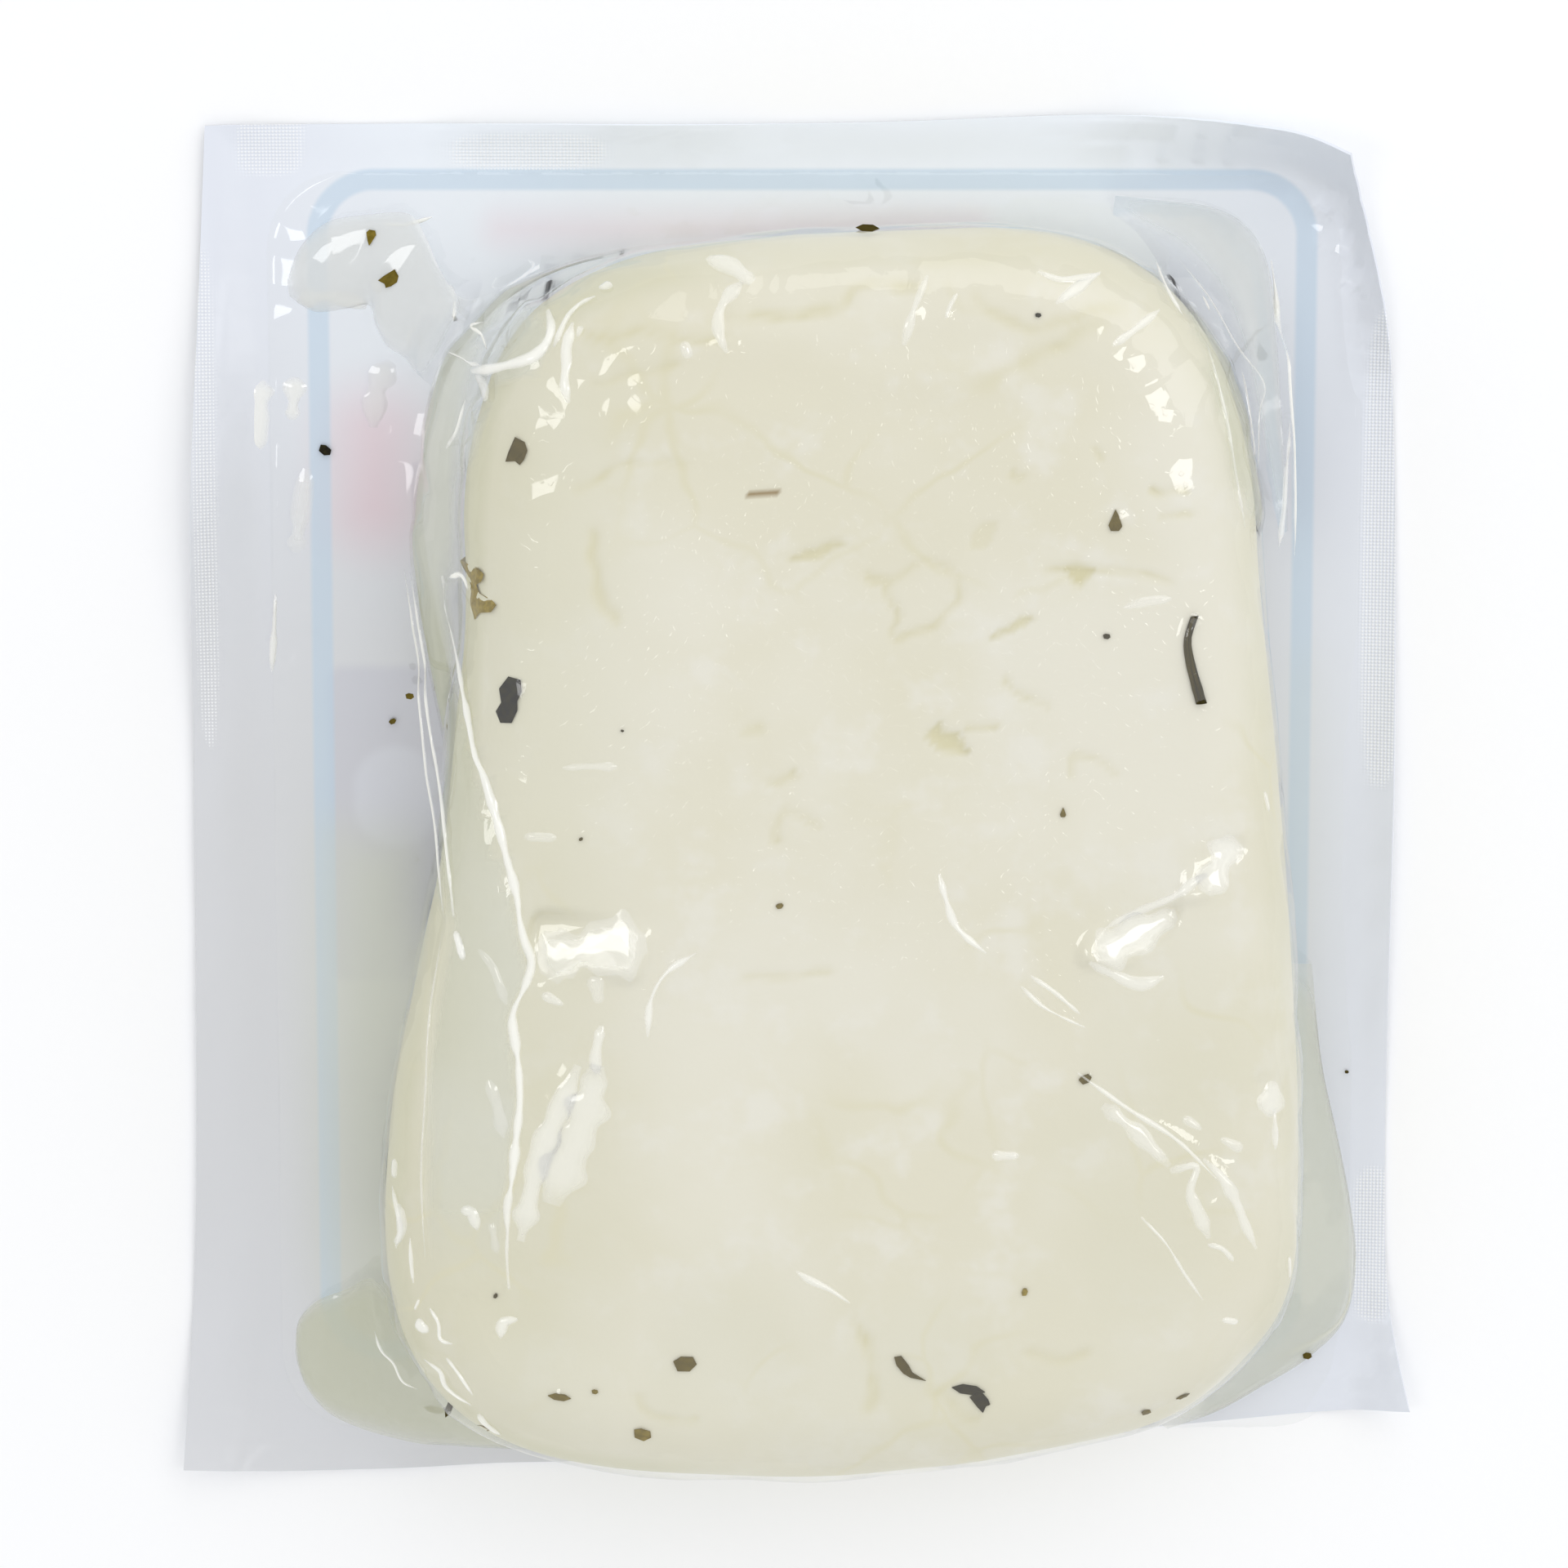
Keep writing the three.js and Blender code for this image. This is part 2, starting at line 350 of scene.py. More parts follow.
class Graph:
    def __init__(self, name):
        self.material = bpy.data.materials.new(name)
        self.material.use_nodes = True
        self.tree = self.material.node_tree
        self.tree.nodes.clear()
        self.output = self.tree.nodes.new("ShaderNodeOutputMaterial")

    def node(self, kind, out=0, settings=(), **inputs):
        made = self.tree.nodes.new("ShaderNode" + kind)
        for key, value in dict(settings).items():
            setattr(made, key, value)
        for key, value in inputs.items():
            place = int(key[2:]) if key.startswith("in") and key[2:].isdigit() else key.replace("_", " ")
            socket = made.inputs[place]
            if isinstance(value, bpy.types.NodeSocket):
                self.tree.links.new(value, socket)
            else:
                socket.default_value = value
        return made.outputs[out]

    def maths(self, operation, first, second=0.0):
        return self.node("Math", settings={"operation": operation}, in0=first, in1=second)

    def add(self, first, second):
        return self.maths("ADD", first, second)

    def times(self, first, second):
        return self.maths("MULTIPLY", first, second)

    def blend(self, share, first, second):
        """A colour between two colours."""
        return self.node("Mix", out=2, settings={"data_type": "RGBA"}, in0=share, in6=first, in7=second)

    def stepped(self, value, low, high):
        """0 below low and 1 above high, softly. With low above high it runs the other way."""
        settings = {"interpolation_type": "SMOOTHSTEP"}
        return self.node("MapRange", settings=settings, Value=value, From_Min=low, From_Max=high)

    def place(self):
        return self.node("TexCoord", out=3)

    def noise(self, scale, detail=2.0, roughness=0.5, out=0, seen_from="3D"):
        return self.node("TexNoise", out=out, settings={"noise_dimensions": seen_from}, Vector=self.place(),
                         Scale=scale, Detail=detail, Roughness=roughness)

    def bent_by(self, wander, size):
        """The place, moved about by a coloured noise, so that a pattern on it has no straight lines."""
        return self.node("VectorMath", settings={"operation": "MULTIPLY_ADD"}, in0=wander, in1=(size,) * 3,
                         in2=self.place())

    def mark(self, name):
        return self.node("Attribute", out=2, settings={"attribute_name": name})

    def finish(self, shader):
        self.tree.links.new(shader, self.output.inputs["Surface"])
        return self.material


def colour(red, green, blue):
    """A colour given as on a paint chart, 0 to 255, in Blender's linear numbers."""
    def linear(value):
        value /= 255
        return value / 12.92 if value <= 0.04045 else ((value + 0.055) / 1.055) ** 2.4
    return (linear(red), linear(green), linear(blue), 1.0)


print("cream in linear numbers:", [round(v, 3) for v in colour(226, 221, 202)])

# %% Table
paper = Graph("table_top")
table.data.materials.append(paper.finish(paper.node("BsdfDiffuse", Color=colour(254, 254, 254))))

# %% [markdown]
# ### Cheese
# Halloumi is cream coloured and moist. Its colour is never quite even: the folds where the curd was turned
# over are paler, and whey stands in the cracks and makes them yellower. Fine seams, where lumps of curd meet,
# are drawn by the edges between the cells of a bent cell pattern. The deeper cracks are carved into the mesh,
# which keeps a mark of how deep each point lies.

# %% Cheese material


def cheese_material():
    g = Graph("cheese")
    clouds = g.stepped(g.noise(34, 3.0, 0.55), 0.36, 0.66)
    cream = g.blend(clouds, colour(229, 225, 208), colour(224, 219, 196))
    pale = g.stepped(g.noise(150, 3.0, 0.6), 0.5, 0.72)
    cream = g.blend(g.times(pale, 0.6), cream, colour(232, 229, 217))
    cream = g.blend(g.mark("wet"), cream, colour(208, 205, 176))
    wander = g.noise(80, 2.0, out=1)
    cells = g.node("TexVoronoi", settings={"feature": "DISTANCE_TO_EDGE"}, Vector=g.bent_by(wander, 0.011),
                   Scale=62.0)
    seam = g.times(g.stepped(cells, 0.045, 0.0), g.stepped(g.noise(40), 0.5, 0.68))
    cream = g.blend(g.times(seam, 0.55), cream, colour(218, 212, 178))
    cream = g.blend(g.mark("crack"), cream, colour(212, 205, 165))
    cream = g.blend(g.mark("slit"), cream, colour(150, 126, 78))
    grain = g.node("Bump", Strength=0.2, Distance=0.0002, Height=g.noise(700, 2.0))
    return g.finish(g.node(
        "BsdfPrincipled", Base_Color=cream, Roughness=0.5, Specular_IOR_Level=0.25, Normal=grain))


# %% [markdown]
# ### Clear film
# Film is so thin that light goes straight through it, so there is no bending to work out. What shows is its
# mirror-like gloss, weak face on and strong at a slant. Where the film is drawn tight over the cheese, its
# grain presses tiny bumps into it, and each of them glints. Light on its way to the cheese goes through
# everything clear or cloudy as if it weren't there, because whey scatters light onwards and hardly takes any.

# %% Clear film material
MIRRORED_FACE_ON = 0.085
CRUMPLE_HEIGHT = 3.2


def let_light_pass(g, seen):
    ray = g.node("LightPath").node
    on_its_way = g.maths("MAXIMUM", ray.outputs["Is Shadow Ray"], ray.outputs["Is Diffuse Ray"])
    return g.node("MixShader", in0=on_its_way, in1=seen, in2=g.node("BsdfTransparent", Color=(1, 1, 1, 1)))


def glossy_over(g, behind, height):
    """Film gloss over what is behind it. The height is in tenths of a millimetre."""
    ripple = g.node("Bump", Strength=1.0, Distance=0.0001, Height=height)
    slant = g.node("LayerWeight", out=1, Blend=0.5)
    share = g.add(g.times(g.maths("POWER", slant, 5.0), 1 - MIRRORED_FACE_ON), MIRRORED_FACE_ON)
    gloss = g.node("BsdfGlossy", Color=(1, 1, 1, 1), Roughness=0.05, Normal=ripple)
    return g.finish(let_light_pass(g, g.node("MixShader", in0=share, in1=behind, in2=gloss)))


def crumples(g, size):
    """Low cones with sharp valleys between them, about as wide as the size in metres."""
    bent = g.bent_by(g.noise(0.5 / size, 1.0, out=1, seen_from="2D"), 1.2 * size)
    settings = {"feature": "F1", "voronoi_dimensions": "2D"}
    return g.node("TexVoronoi", settings=settings, Vector=bent, Scale=1 / size)


def film_material():
    g = Graph("clear_film")
    dots = g.times(g.stepped(g.noise(1300, 0.0, seen_from="2D"), 0.64, 0.74), g.mark("tight"))
    height = g.add(g.times(g.noise(230, 1.0, seen_from="2D"), 0.3), g.times(dots, 0.4))
    height = g.add(height, g.times(g.times(crumples(g, 0.006), g.mark("slack")), CRUMPLE_HEIGHT))
    clear = g.node("BsdfTransparent", Color=(0.985, 0.987, 0.98, 1))
    return glossy_over(g, clear, height)


def underside_material():
    """Where the film lies on the backing film there is no air between them, so nothing is mirrored there."""
    g = Graph("film_underside")
    return g.finish(g.node("BsdfTransparent", Color=(1, 1, 1, 1)))


# %% [markdown]
# ### Whey
# Whey is cloudy. A thin layer veils what is behind it, and a deep one hides it and looks greener. Each point
# of the whey has a mark for its depth, which the veil follows, and one for its tone. The ears of slack film
# are full of whey, so their material is the same veil under the gloss of the film.

# %% Whey material


# The painted highlights of the sharp creases use this veil too, with their whiteness as the depth mark.
def veil(g, pale=(220, 222, 221), deep=(192, 193, 166), most=0.8):
    clear = g.node("BsdfTransparent", Color=(1, 1, 1, 1))
    cloud = g.node("BsdfDiffuse", Color=g.blend(g.mark("tone"), colour(*pale), colour(*deep)))
    return g.node("MixShader", in0=g.times(g.mark("depth"), most), in1=clear, in2=cloud)


def whey_material():
    g = Graph("whey")
    return g.finish(let_light_pass(g, veil(g)))


def ear_material():
    g = Graph("film_over_whey")
    height = g.times(g.noise(230, 1.0, seen_from="2D"), 0.3)
    height = g.add(height, g.times(crumples(g, 0.005), 0.8 * CRUMPLE_HEIGHT))
    return glossy_over(g, veil(g), height)


def painted_highlight_material():
    """Painted highlights: a white veil under the film's gloss, along folds and leaning film that mirror the
    softboxes.
    """
    g = Graph("creased_film")
    # The colour of the painted highlights.
    highlight_white = (252, 251, 242)
    return glossy_over(g, veil(g, highlight_white, highlight_white, 0.9), g.times(g.noise(400, 1.0, seen_from="2D"), 0.4))


# %% [markdown]
# ### Mint
# Dried mint is dark olive, with some brown and ochre bits. Each bit has a mark for its tone.

# %% Mint material


def mint_material():
    g = Graph("mint")
    tone = g.mark("tone")
    leaf = g.blend(tone, colour(26, 23, 14), colour(152, 132, 48))
    veined = g.blend(tone, colour(46, 42, 18), colour(126, 108, 30))
    leaf = g.blend(g.stepped(g.noise(1500, 2.0, 0.6), 0.35, 0.65), leaf, veined)
    return g.finish(g.node("BsdfPrincipled", Base_Color=leaf, Roughness=0.5, Specular_IOR_Level=0.1))


# %% [markdown]
# ### Printed backing film
# The backing film is white. Its print is on the outside and shows through faintly on the inside: a pale blue
# frame line, a pale sky at the far end, and soft fields of pink and violet. Towards the far end and the right
# the ground and the sky are painted lighter, as painted light against the block's shade. The sealing bar has
# pressed a fine crossed pattern into parts of the border. Here its points stand up a little, and their glints
# are painted highlights in white.

# %% Printed backing film material
FRAME_MIDDLE, FRAME_HALF, FRAME_ROUND, FRAME_LINE = (1.9, 0.4), (51.6, 63.3), 6, 2.2
SEAL_PITCH = 0.72


def print_material(name, strength, near_ground, paler_ground_and_painted_light):
    """The printed fields, at full strength on the outside and faint on the inside, on a ground with painted
    light.
    """
    g = Graph(name)
    xyz = g.node("SeparateXYZ", Vector=g.place()).node
    x = g.maths("MULTIPLY_ADD", xyz.outputs[0], 1 / MM)
    x.node.inputs[2].default_value = -float(SHIFT[0])
    y = g.maths("MULTIPLY_ADD", xyz.outputs[1], 1 / MM)
    y.node.inputs[2].default_value = -float(SHIFT[1])

    def outside_box(middle, half, corner):
        """How far a point lies outside a rectangle with round corners."""
        dx = g.add(g.maths("ABSOLUTE", g.add(x, -middle[0])), corner - half[0])
        dy = g.add(g.maths("ABSOLUTE", g.add(y, -middle[1])), corner - half[1])
        outer_x, outer_y = g.maths("MAXIMUM", dx, 0.0), g.maths("MAXIMUM", dy, 0.0)
        outer = g.maths("SQRT", g.add(g.times(outer_x, outer_x), g.times(outer_y, outer_y)))
        return g.add(g.add(outer, g.maths("MINIMUM", g.maths("MAXIMUM", dx, dy), 0.0)), -corner)

    def field(base, distance, tint, soft, share):
        return g.blend(g.times(g.stepped(distance, soft, -soft), strength * share), base, colour(*tint))

    # Painted light: the ground is lighter towards the far end and the right, against the block's shade there.
    # The print itself is paler at the far end as well.
    paler_print_and_painted_light = g.maths("MAXIMUM", g.stepped(y, -10.0, 75.0), g.times(g.stepped(x, 30.0, 60.0), 0.9))
    ink = g.blend(paler_print_and_painted_light, colour(*near_ground), colour(*paler_ground_and_painted_light))
    # The print's pale sky, painted paler than it is, as painted light against the shade of the block and the
    # film.
    ink = field(ink, outside_box((1.9, 60), (50, 22), 6), (244, 250, 255), 12.0, 0.8)
    ink = field(ink, outside_box((-44.0, 33), (4.5, 8), 4), (232, 150, 165), 5.0, 0.4)
    ink = field(ink, outside_box((-42, -5), (7.2, 17), 1.5), (160, 158, 192), 0.8, 0.3)
    ink = field(ink, outside_box((-42, -2), (4.6, 5.4), 4.5), (232, 236, 246), 0.8, 0.4)
    ink = field(ink, outside_box((-6, 58.5), (26, 1.6), 1.5), (236, 160, 172), 2.6, 0.24)
    frame_edge = outside_box(FRAME_MIDDLE, FRAME_HALF, FRAME_ROUND)
    line = g.add(g.maths("ABSOLUTE", frame_edge), -FRAME_LINE / 2)
    ink = field(ink, line, (190, 213, 233), 0.3, 0.85)
    ink = g.blend(g.mark("damp"), ink, colour(212, 215, 199))
    pitch = 2 * math.pi / SEAL_PITCH
    rising = g.maths("SINE", g.times(g.add(x, y), pitch))
    falling = g.maths("SINE", g.times(g.maths("SUBTRACT", x, y), pitch))
    seal = g.times(g.times(rising, falling), g.mark("seal"))
    # Painted highlights: the raised points of the crossed pattern are painted white where they would glint.
    ink = g.blend(g.times(g.stepped(seal, 0.1, 0.5), 0.85), ink, colour(252, 253, 255))
    height = g.add(g.times(g.noise(130), 0.5), g.times(seal, 0.25))
    relief = g.node("Bump", Strength=0.7, Distance=0.0002, Height=height)
    return g.finish(g.node(
        "BsdfPrincipled", Base_Color=ink, Roughness=0.28, Normal=relief, Specular_IOR_Level=0.6))


cheese_look = cheese_material()
film_look = film_material()
underside_look = underside_material()
whey_look = whey_material()
ear_look = ear_material()
painted_highlight_look = painted_highlight_material()
mint_look = mint_material()
# The second ground colour of each print is partly painted light, towards the far end and the right.
inside_print = print_material("print_seen_from_inside", 0.75, (216, 217, 220), (229, 233, 242))
outside_print = print_material("print_on_the_outside", 1.6, (236, 239, 244), (236, 240, 248))
print("materials:", [material.name for material in bpy.data.materials])

# %% [markdown]
# ## The shape that the film and the cheese share
# Seen from above, the block has a smooth outline that is wider at its near end. Its side view is a gently
# domed top, a rounded edge and a side that swells a little. The clear film follows all that, except where it
# is slack: there it stands out from the block's foot before it reaches the backing film. Both are made from
# one flat grid each. The grid's middle becomes the top, and its border bends down over the sides, so its
# lines run straight over the edge as they do in a stretched sheet.

# %% Outline and slack
BLOCK_OUTLINE = [
    (-6, -72.2), (14, -71.6), (30, -69.2), (43, -65), (51, -57.5), (53.8, -45), (53, -25), (51, 2),
    (48.6, 25), (46.6, 41), (40.5, 54), (29, 60.4), (10, 60.8), (-10, 59.2), (-25, 55), (-32.6, 46),
    (-34.4, 28), (-35.2, 8), (-38.4, -12), (-42.2, -30), (-43.6, -50), (-38.6, -64), (-27, -70.6)]
CORNERS = {
    "near_left": (-39.5, -63), "near_right": (49.5, -60), "far_right": (42, 52), "far_left": (-30.5, 51)}
EDGE_ROUND = 8.5
EDGE_START = math.radians(4)
SIDE_BULGE = 2.8
SHOULDER = 15.5
# Where the formed pocket meets the flat border: a rectangle with round corners.
WELD = {"left": -55, "right": 59.5, "near": -71.5, "far": 64.5, "round": 8}
# From a point on the block: half its length, how far the film reaches out and how high it is there.
SLACK = [
    ((-34.6, 32), 42, 7.2, 14),
    ((-38, -12), 26, 1.0, 12),
    ((-43, -40), 26, 1.6, 9),
    ((-30.5, 50.5), 13, 4, 5),
    ((44.5, 48), 20, 1.0, 5),
    ((-40.5, -61), 15, 1.5, 4),
    ((53.5, -46), 22, 0.8, 4),
]
STATIONS = 3200


def rounded_rectangle(left, right, near, far, **rounding):
    radius = rounding["round"]
    turns = np.linspace(0, math.pi / 2, 12)
    centres = [(right - radius, near + radius), (right - radius, far - radius),
               (left + radius, far - radius), (left + radius, near + radius)]
    arcs = [np.stack([cx + radius * np.cos(turns + (k - 1) * math.pi / 2),
                      cy + radius * np.sin(turns + (k - 1) * math.pi / 2)], axis=1)
            for k, (cx, cy) in enumerate(centres)]
    return np.concatenate(arcs)


def stations_round_block():
    """Points round the block, in four runs from corner to corner, with their outward directions."""
    ring = evenly_spaced(smooth_line(BLOCK_OUTLINE, closed=True), 4000, closed=True)
    for _ in range(60):
        ring = (np.roll(ring, 12, axis=0) + 2 * ring + np.roll(ring, -12, axis=0)) / 4
    turns = [int(np.argmin(np.linalg.norm(ring - np.array(CORNERS[name]), axis=1)))
             for name in ("near_left", "near_right", "far_right", "far_left")]
    runs = []
    for start, end in zip(turns, turns[1:] + turns[:1]):
        stops = np.linspace(start, end if end > start else end + len(ring), STATIONS // 4, endpoint=False)
        low = np.floor(stops).astype(int)
        part = (stops - low)[:, None]
        runs.append(ring[low % len(ring)] * (1 - part) + ring[(low + 1) % len(ring)] * part)
    points = np.concatenate(runs)
    along = np.roll(points, -4, axis=0) - np.roll(points, 4, axis=0)
    along /= np.linalg.norm(along, axis=1)[:, None]
    outward = np.stack([along[:, 1], -along[:, 0]], axis=1)
    return points, outward


def slack_at(points):
    reach, height = np.zeros(len(points)), np.ones(len(points))
    for start, half, out, high in SLACK:
        share = ramp(1 - np.linalg.norm(points - np.array(start), axis=1) / half, 0, 1)
        reach = np.maximum(reach, out * share)
        height = np.maximum(height, 1 + high * np.sqrt(share))
    return reach, height


def distance_to_weld(points, outward):
    """How far outward from each station the pocket meets the border."""
    ring = evenly_spaced(rounded_rectangle(**WELD), 1200, closed=True)
    sideways = (ring[None, :, 0] - points[:, None, 0]) * outward[:, None, 1] \
        - (ring[None, :, 1] - points[:, None, 1]) * outward[:, None, 0]
    forward = (ring[None, :, 0] - points[:, None, 0]) * outward[:, None, 0] \
        + (ring[None, :, 1] - points[:, None, 1]) * outward[:, None, 1]
    off_line = np.where(forward > -6, np.abs(sideways), 1e3)
    return forward[np.arange(len(points)), off_line.argmin(axis=1)]


def dome(x, y):
    """How far the top has dropped at a point. It is level in the middle and falls towards the edges."""
    across = np.maximum(np.abs(x - 6.5) - 14, 0) / 30
    along = np.maximum(np.abs(y + 5.5) - 30, 0) / 36
    return 1.5 * across**2 + 1.3 * along**2


station_points, station_outward = stations_round_block()
print("the block is", np.ptp(station_points, axis=0).round(1), "mm at its widest")

# %% The side view, from the top edge down


def swell(z):
    return SIDE_BULGE * (np.sin(np.clip(z / SHOULDER, 0, 1) * math.pi / 2) - 1)


def side_views(top, inset, steps, slack, foot_round, foot):
    """For each station, `steps` + 1 points from the top edge down, as distance outward and height."""
    radius = EDGE_ROUND / (1 - math.sin(EDGE_START))
    turn = np.linspace(EDGE_START, math.pi / 2, 12)
    edge_out = radius * (np.sin(turn) - 1) - inset
    edge_down = radius * (math.cos(EDGE_START) - np.cos(turn))
    start = station_points - station_outward * EDGE_ROUND
    tops = top - dome(start[:, 0], start[:, 1])
    reach, height = slack_at(station_points)
    weld = distance_to_weld(station_points, station_outward)
    views = np.empty((STATIONS, steps + 1, 2))
    for k in range(STATIONS):
        edge = np.stack([edge_out, tops[k] - edge_down], axis=1)
        shoulder = edge[-1, 1]
        if slack:
            walls = np.linspace(shoulder, min(height[k], shoulder - 1), 8)[1:]
            side = np.stack([swell(walls), walls], axis=1)
            sweep = np.linspace(0, math.pi / 2, 9)[1:]
            low = foot + (walls[-1] - foot) * np.cos(sweep)
            tent = np.stack([swell(low) + reach[k] * np.sin(sweep), low], axis=1)
            line = np.vstack([edge, side, tent, [[max(weld[k], tent[-1, 0] + 0.4), foot]]])
        else:
            walls = np.linspace(shoulder, foot + foot_round, 8)[1:]
            side = np.stack([swell(walls) - inset, walls], axis=1)
            sweep = np.linspace(0, math.pi / 2, 7)[1:]
            under = np.stack([side[-1, 0] - foot_round * (1 - np.cos(sweep)),
                              foot + foot_round * (1 - np.sin(sweep))], axis=1)
            line = np.vstack([edge, side, under])
        views[k] = evenly_spaced(line, steps + 1)
    return views


# %% Bend a flat grid over the block


def bend_over_block(column, row, columns, rows, border, views, top):
    """Where each grid point goes. The outer `border` rings follow the side view, the rest is the top."""
    ring = np.minimum(np.minimum(column, columns - column), np.minimum(row, rows - row))
    depth = np.minimum(ring, border)
    wide, long = columns - 2 * depth, rows - 2 * depth
    u = np.clip((column - depth) / wide, 0, 1)
    v = np.clip((row - depth) / long, 0, 1)
    on_near = row == depth
    on_right = ~on_near & (column == columns - depth)
    on_far = ~on_near & ~on_right & (row == rows - depth)
    run = np.where(on_near, u, np.where(on_right, 1 + v, np.where(on_far, 3 - u, 4 - v)))

    def at_run(run, step):
        spot = (run % 4) * STATIONS / 4
        low = np.floor(spot).astype(int)
        part = (spot - low)[:, None]
        low, high = low % STATIONS, (low + 1) % STATIONS
        base = station_points[low] * (1 - part) + station_points[high] * part
        out = station_outward[low] * (1 - part) + station_outward[high] * part
        view = views[low, step] * (1 - part) + views[high, step] * part
        return np.column_stack([base + out * view[:, :1], view[:, 1]])

    places = at_run(run, border - depth)
    top_edge = np.zeros(len(u), int)
    near, far = at_run(u, top_edge), at_run(3 - u, top_edge)
    left, right = at_run(4 - v, top_edge), at_run(1 + v, top_edge)
    corners = [at_run(np.full(len(u), k, float), top_edge) for k in range(4)]
    patch = (1 - v)[:, None] * near + v[:, None] * far + (1 - u)[:, None] * left + u[:, None] * right \
        - ((1 - u) * (1 - v))[:, None] * corners[0] - (u * (1 - v))[:, None] * corners[1] \
        - (u * v)[:, None] * corners[2] - ((1 - u) * v)[:, None] * corners[3]
    patch[:, 2] = top - dome(patch[:, 0], patch[:, 1])
    return np.where((ring > border)[:, None], patch, places)


def as_grid(values, column, row, columns, rows):
    grid = np.empty((rows + 1, columns + 1) + values.shape[1:])
    grid[row, column] = values
    return grid


def relax(grid, rounds):
    """Rounds off small kinks. The border stays where it is."""
    for _ in range(rounds):
        middle = (grid[:-2, 1:-1] + grid[2:, 1:-1] + grid[1:-1, :-2] + grid[1:-1, 2:]) / 4
        grid[1:-1, 1:-1] = (grid[1:-1, 1:-1] + middle) / 2
    return grid


def grid_normals(grid):
    normals = np.cross(np.gradient(grid, axis=1), np.gradient(grid, axis=0))
    return normals / np.maximum(np.linalg.norm(normals, axis=2, keepdims=True), 1e-9)


def close_underneath(piece, sink):
    """Fills the open border of a bent grid with one flat face, sinks it and turns all faces outwards."""
    only(piece)
    bpy.ops.object.mode_set(mode="EDIT")
    bpy.ops.mesh.select_mode(type="EDGE")
    bpy.ops.mesh.select_all(action="DESELECT")
    bpy.ops.mesh.select_non_manifold(extend=False)
    bpy.ops.mesh.edge_face_add()
    bpy.ops.mesh.extrude_region_move(TRANSFORM_OT_translate={"value": (0, 0, -sink * MM)})
    bpy.ops.mesh.select_all(action="SELECT")
    bpy.ops.mesh.normals_make_consistent(inside=False)
    bpy.ops.object.mode_set(mode="OBJECT")
    bpy.ops.object.shade_smooth()
    for face in piece.data.polygons:
        face.use_smooth = len(face.vertices) == 4


SMOOTH_ANGLE = math.radians(50)


def add_mark(piece, name, values):
    mark = piece.data.attributes.new(name, "FLOAT", "POINT")
    mark.data.foreach_set("value", np.asarray(values, np.float32))


def thicken(sheet, thickness, *materials, foot=None):
    """Gives a sheet its thickness. With a foot, its lower side is pressed flat at that height.

    The upper side takes the first material, and the rim and the lower side take the second.
    """
    count = len(sheet.data.vertices)
    thick = sheet.modifiers.new("thickness", "SOLIDIFY")
    thick.thickness = thickness * MM
    thick.offset = -1
    only(sheet)
    bpy.ops.object.modifier_apply(modifier="thickness")
    if foot is not None:
        points = read_points(sheet)
        points[count:, :2] = points[:count, :2]
        points[count:, 2] = foot * MM
        write_points(sheet, points)
    for material in materials:
        sheet.data.materials.append(material)
    for face in sheet.data.polygons:
        face.material_index = 0 if max(face.vertices) < count else 1
    bpy.ops.object.shade_smooth_by_angle(angle=SMOOTH_ANGLE)


# %% [markdown]
# ### Folds that both have
# The vacuum presses the film onto the cheese, so the film shows every soft fold of the cheese under it. These
# folds are worked out once for both: wide soft hills, tighter wavy folds at the far and near ends, and a few
# flat dents that lean towards a softbox and mirror it as a whole.

# %% Shared folds
# Each dent: its outline, and how steeply it rises to the right and to the far end.
DENTS = [
    ([(-27.2, -9.6), (-23.0, -9.0), (-15.4, -10.2), (-14.7, -12.8), (-16.4, -16.4), (-21, -15.8),
      (-26.8, -16.2)], 0.13, -0.15),
    ([(44.2, -1.2), (46.6, -2.6), (43.8, -7.2), (39.6, -8.0), (40.2, -4.0)], -0.10, -0.15),
    ([(38.6, -8.2), (39.8, -9.6), (37.0, -13.4), (33.6, -15.0), (29.4, -14.2), (30.6, -10.6)], -0.13, -0.15),
    ([(-9.6, 59.0), (-4.2, 58.2), (-3.4, 56.0), (-6.4, 52.6), (-8.0, 54.6)], 0.18, -0.09),
    ([(47.4, -26.6), (50.2, -28.0), (50.4, -33.8), (48.0, -31.0)], -0.085, -0.15),
]


def shared_folds(x, y, z, on_top):
    top = 0.26 * hills(x, y, 26, 3) + 0.10 * hills(x, 2.0 * y, 15, 4)
    top += ramp(y, 34, 52) * 0.26 * hills(0.45 * x, 2.4 * y, 9, 6)
    top += ramp(-y, 48, 66) * 0.22 * hills(0.8 * x, 1.2 * y, 7, 7)
    for outline, right, far in DENTS:
        middle_x, middle_y = np.mean(outline, axis=0)
        top += ramp(inside(outline, x, y), -0.3, 1.0) * ((x - middle_x) * right + (y - middle_y) * far)
    side = ramp(z, 1.5, 5) * 0.4 * hills(x + y, 2.5 * z, 14, 8)
    return on_top * top + (1 - on_top) * side


def how_much_on_top(grid, normals):
    return ramp(normals[..., 2], 0.5, 0.95) * ramp(grid[..., 2], 12, 20)


print("the film stands out", slack_at(station_points)[0].max().round(1), "mm at most")

# %% [markdown]
# ## The cheese
# Halloumi is folded over by hand before it is packed, so its face has shallow folds and a few cracks and gaps
# where the curd didn't knit. The block is a bent grid with a closed underside. The shared folds are added
# along its normals, then the cracks are carved as grooves and the gaps as shallow floors with sharp edges.

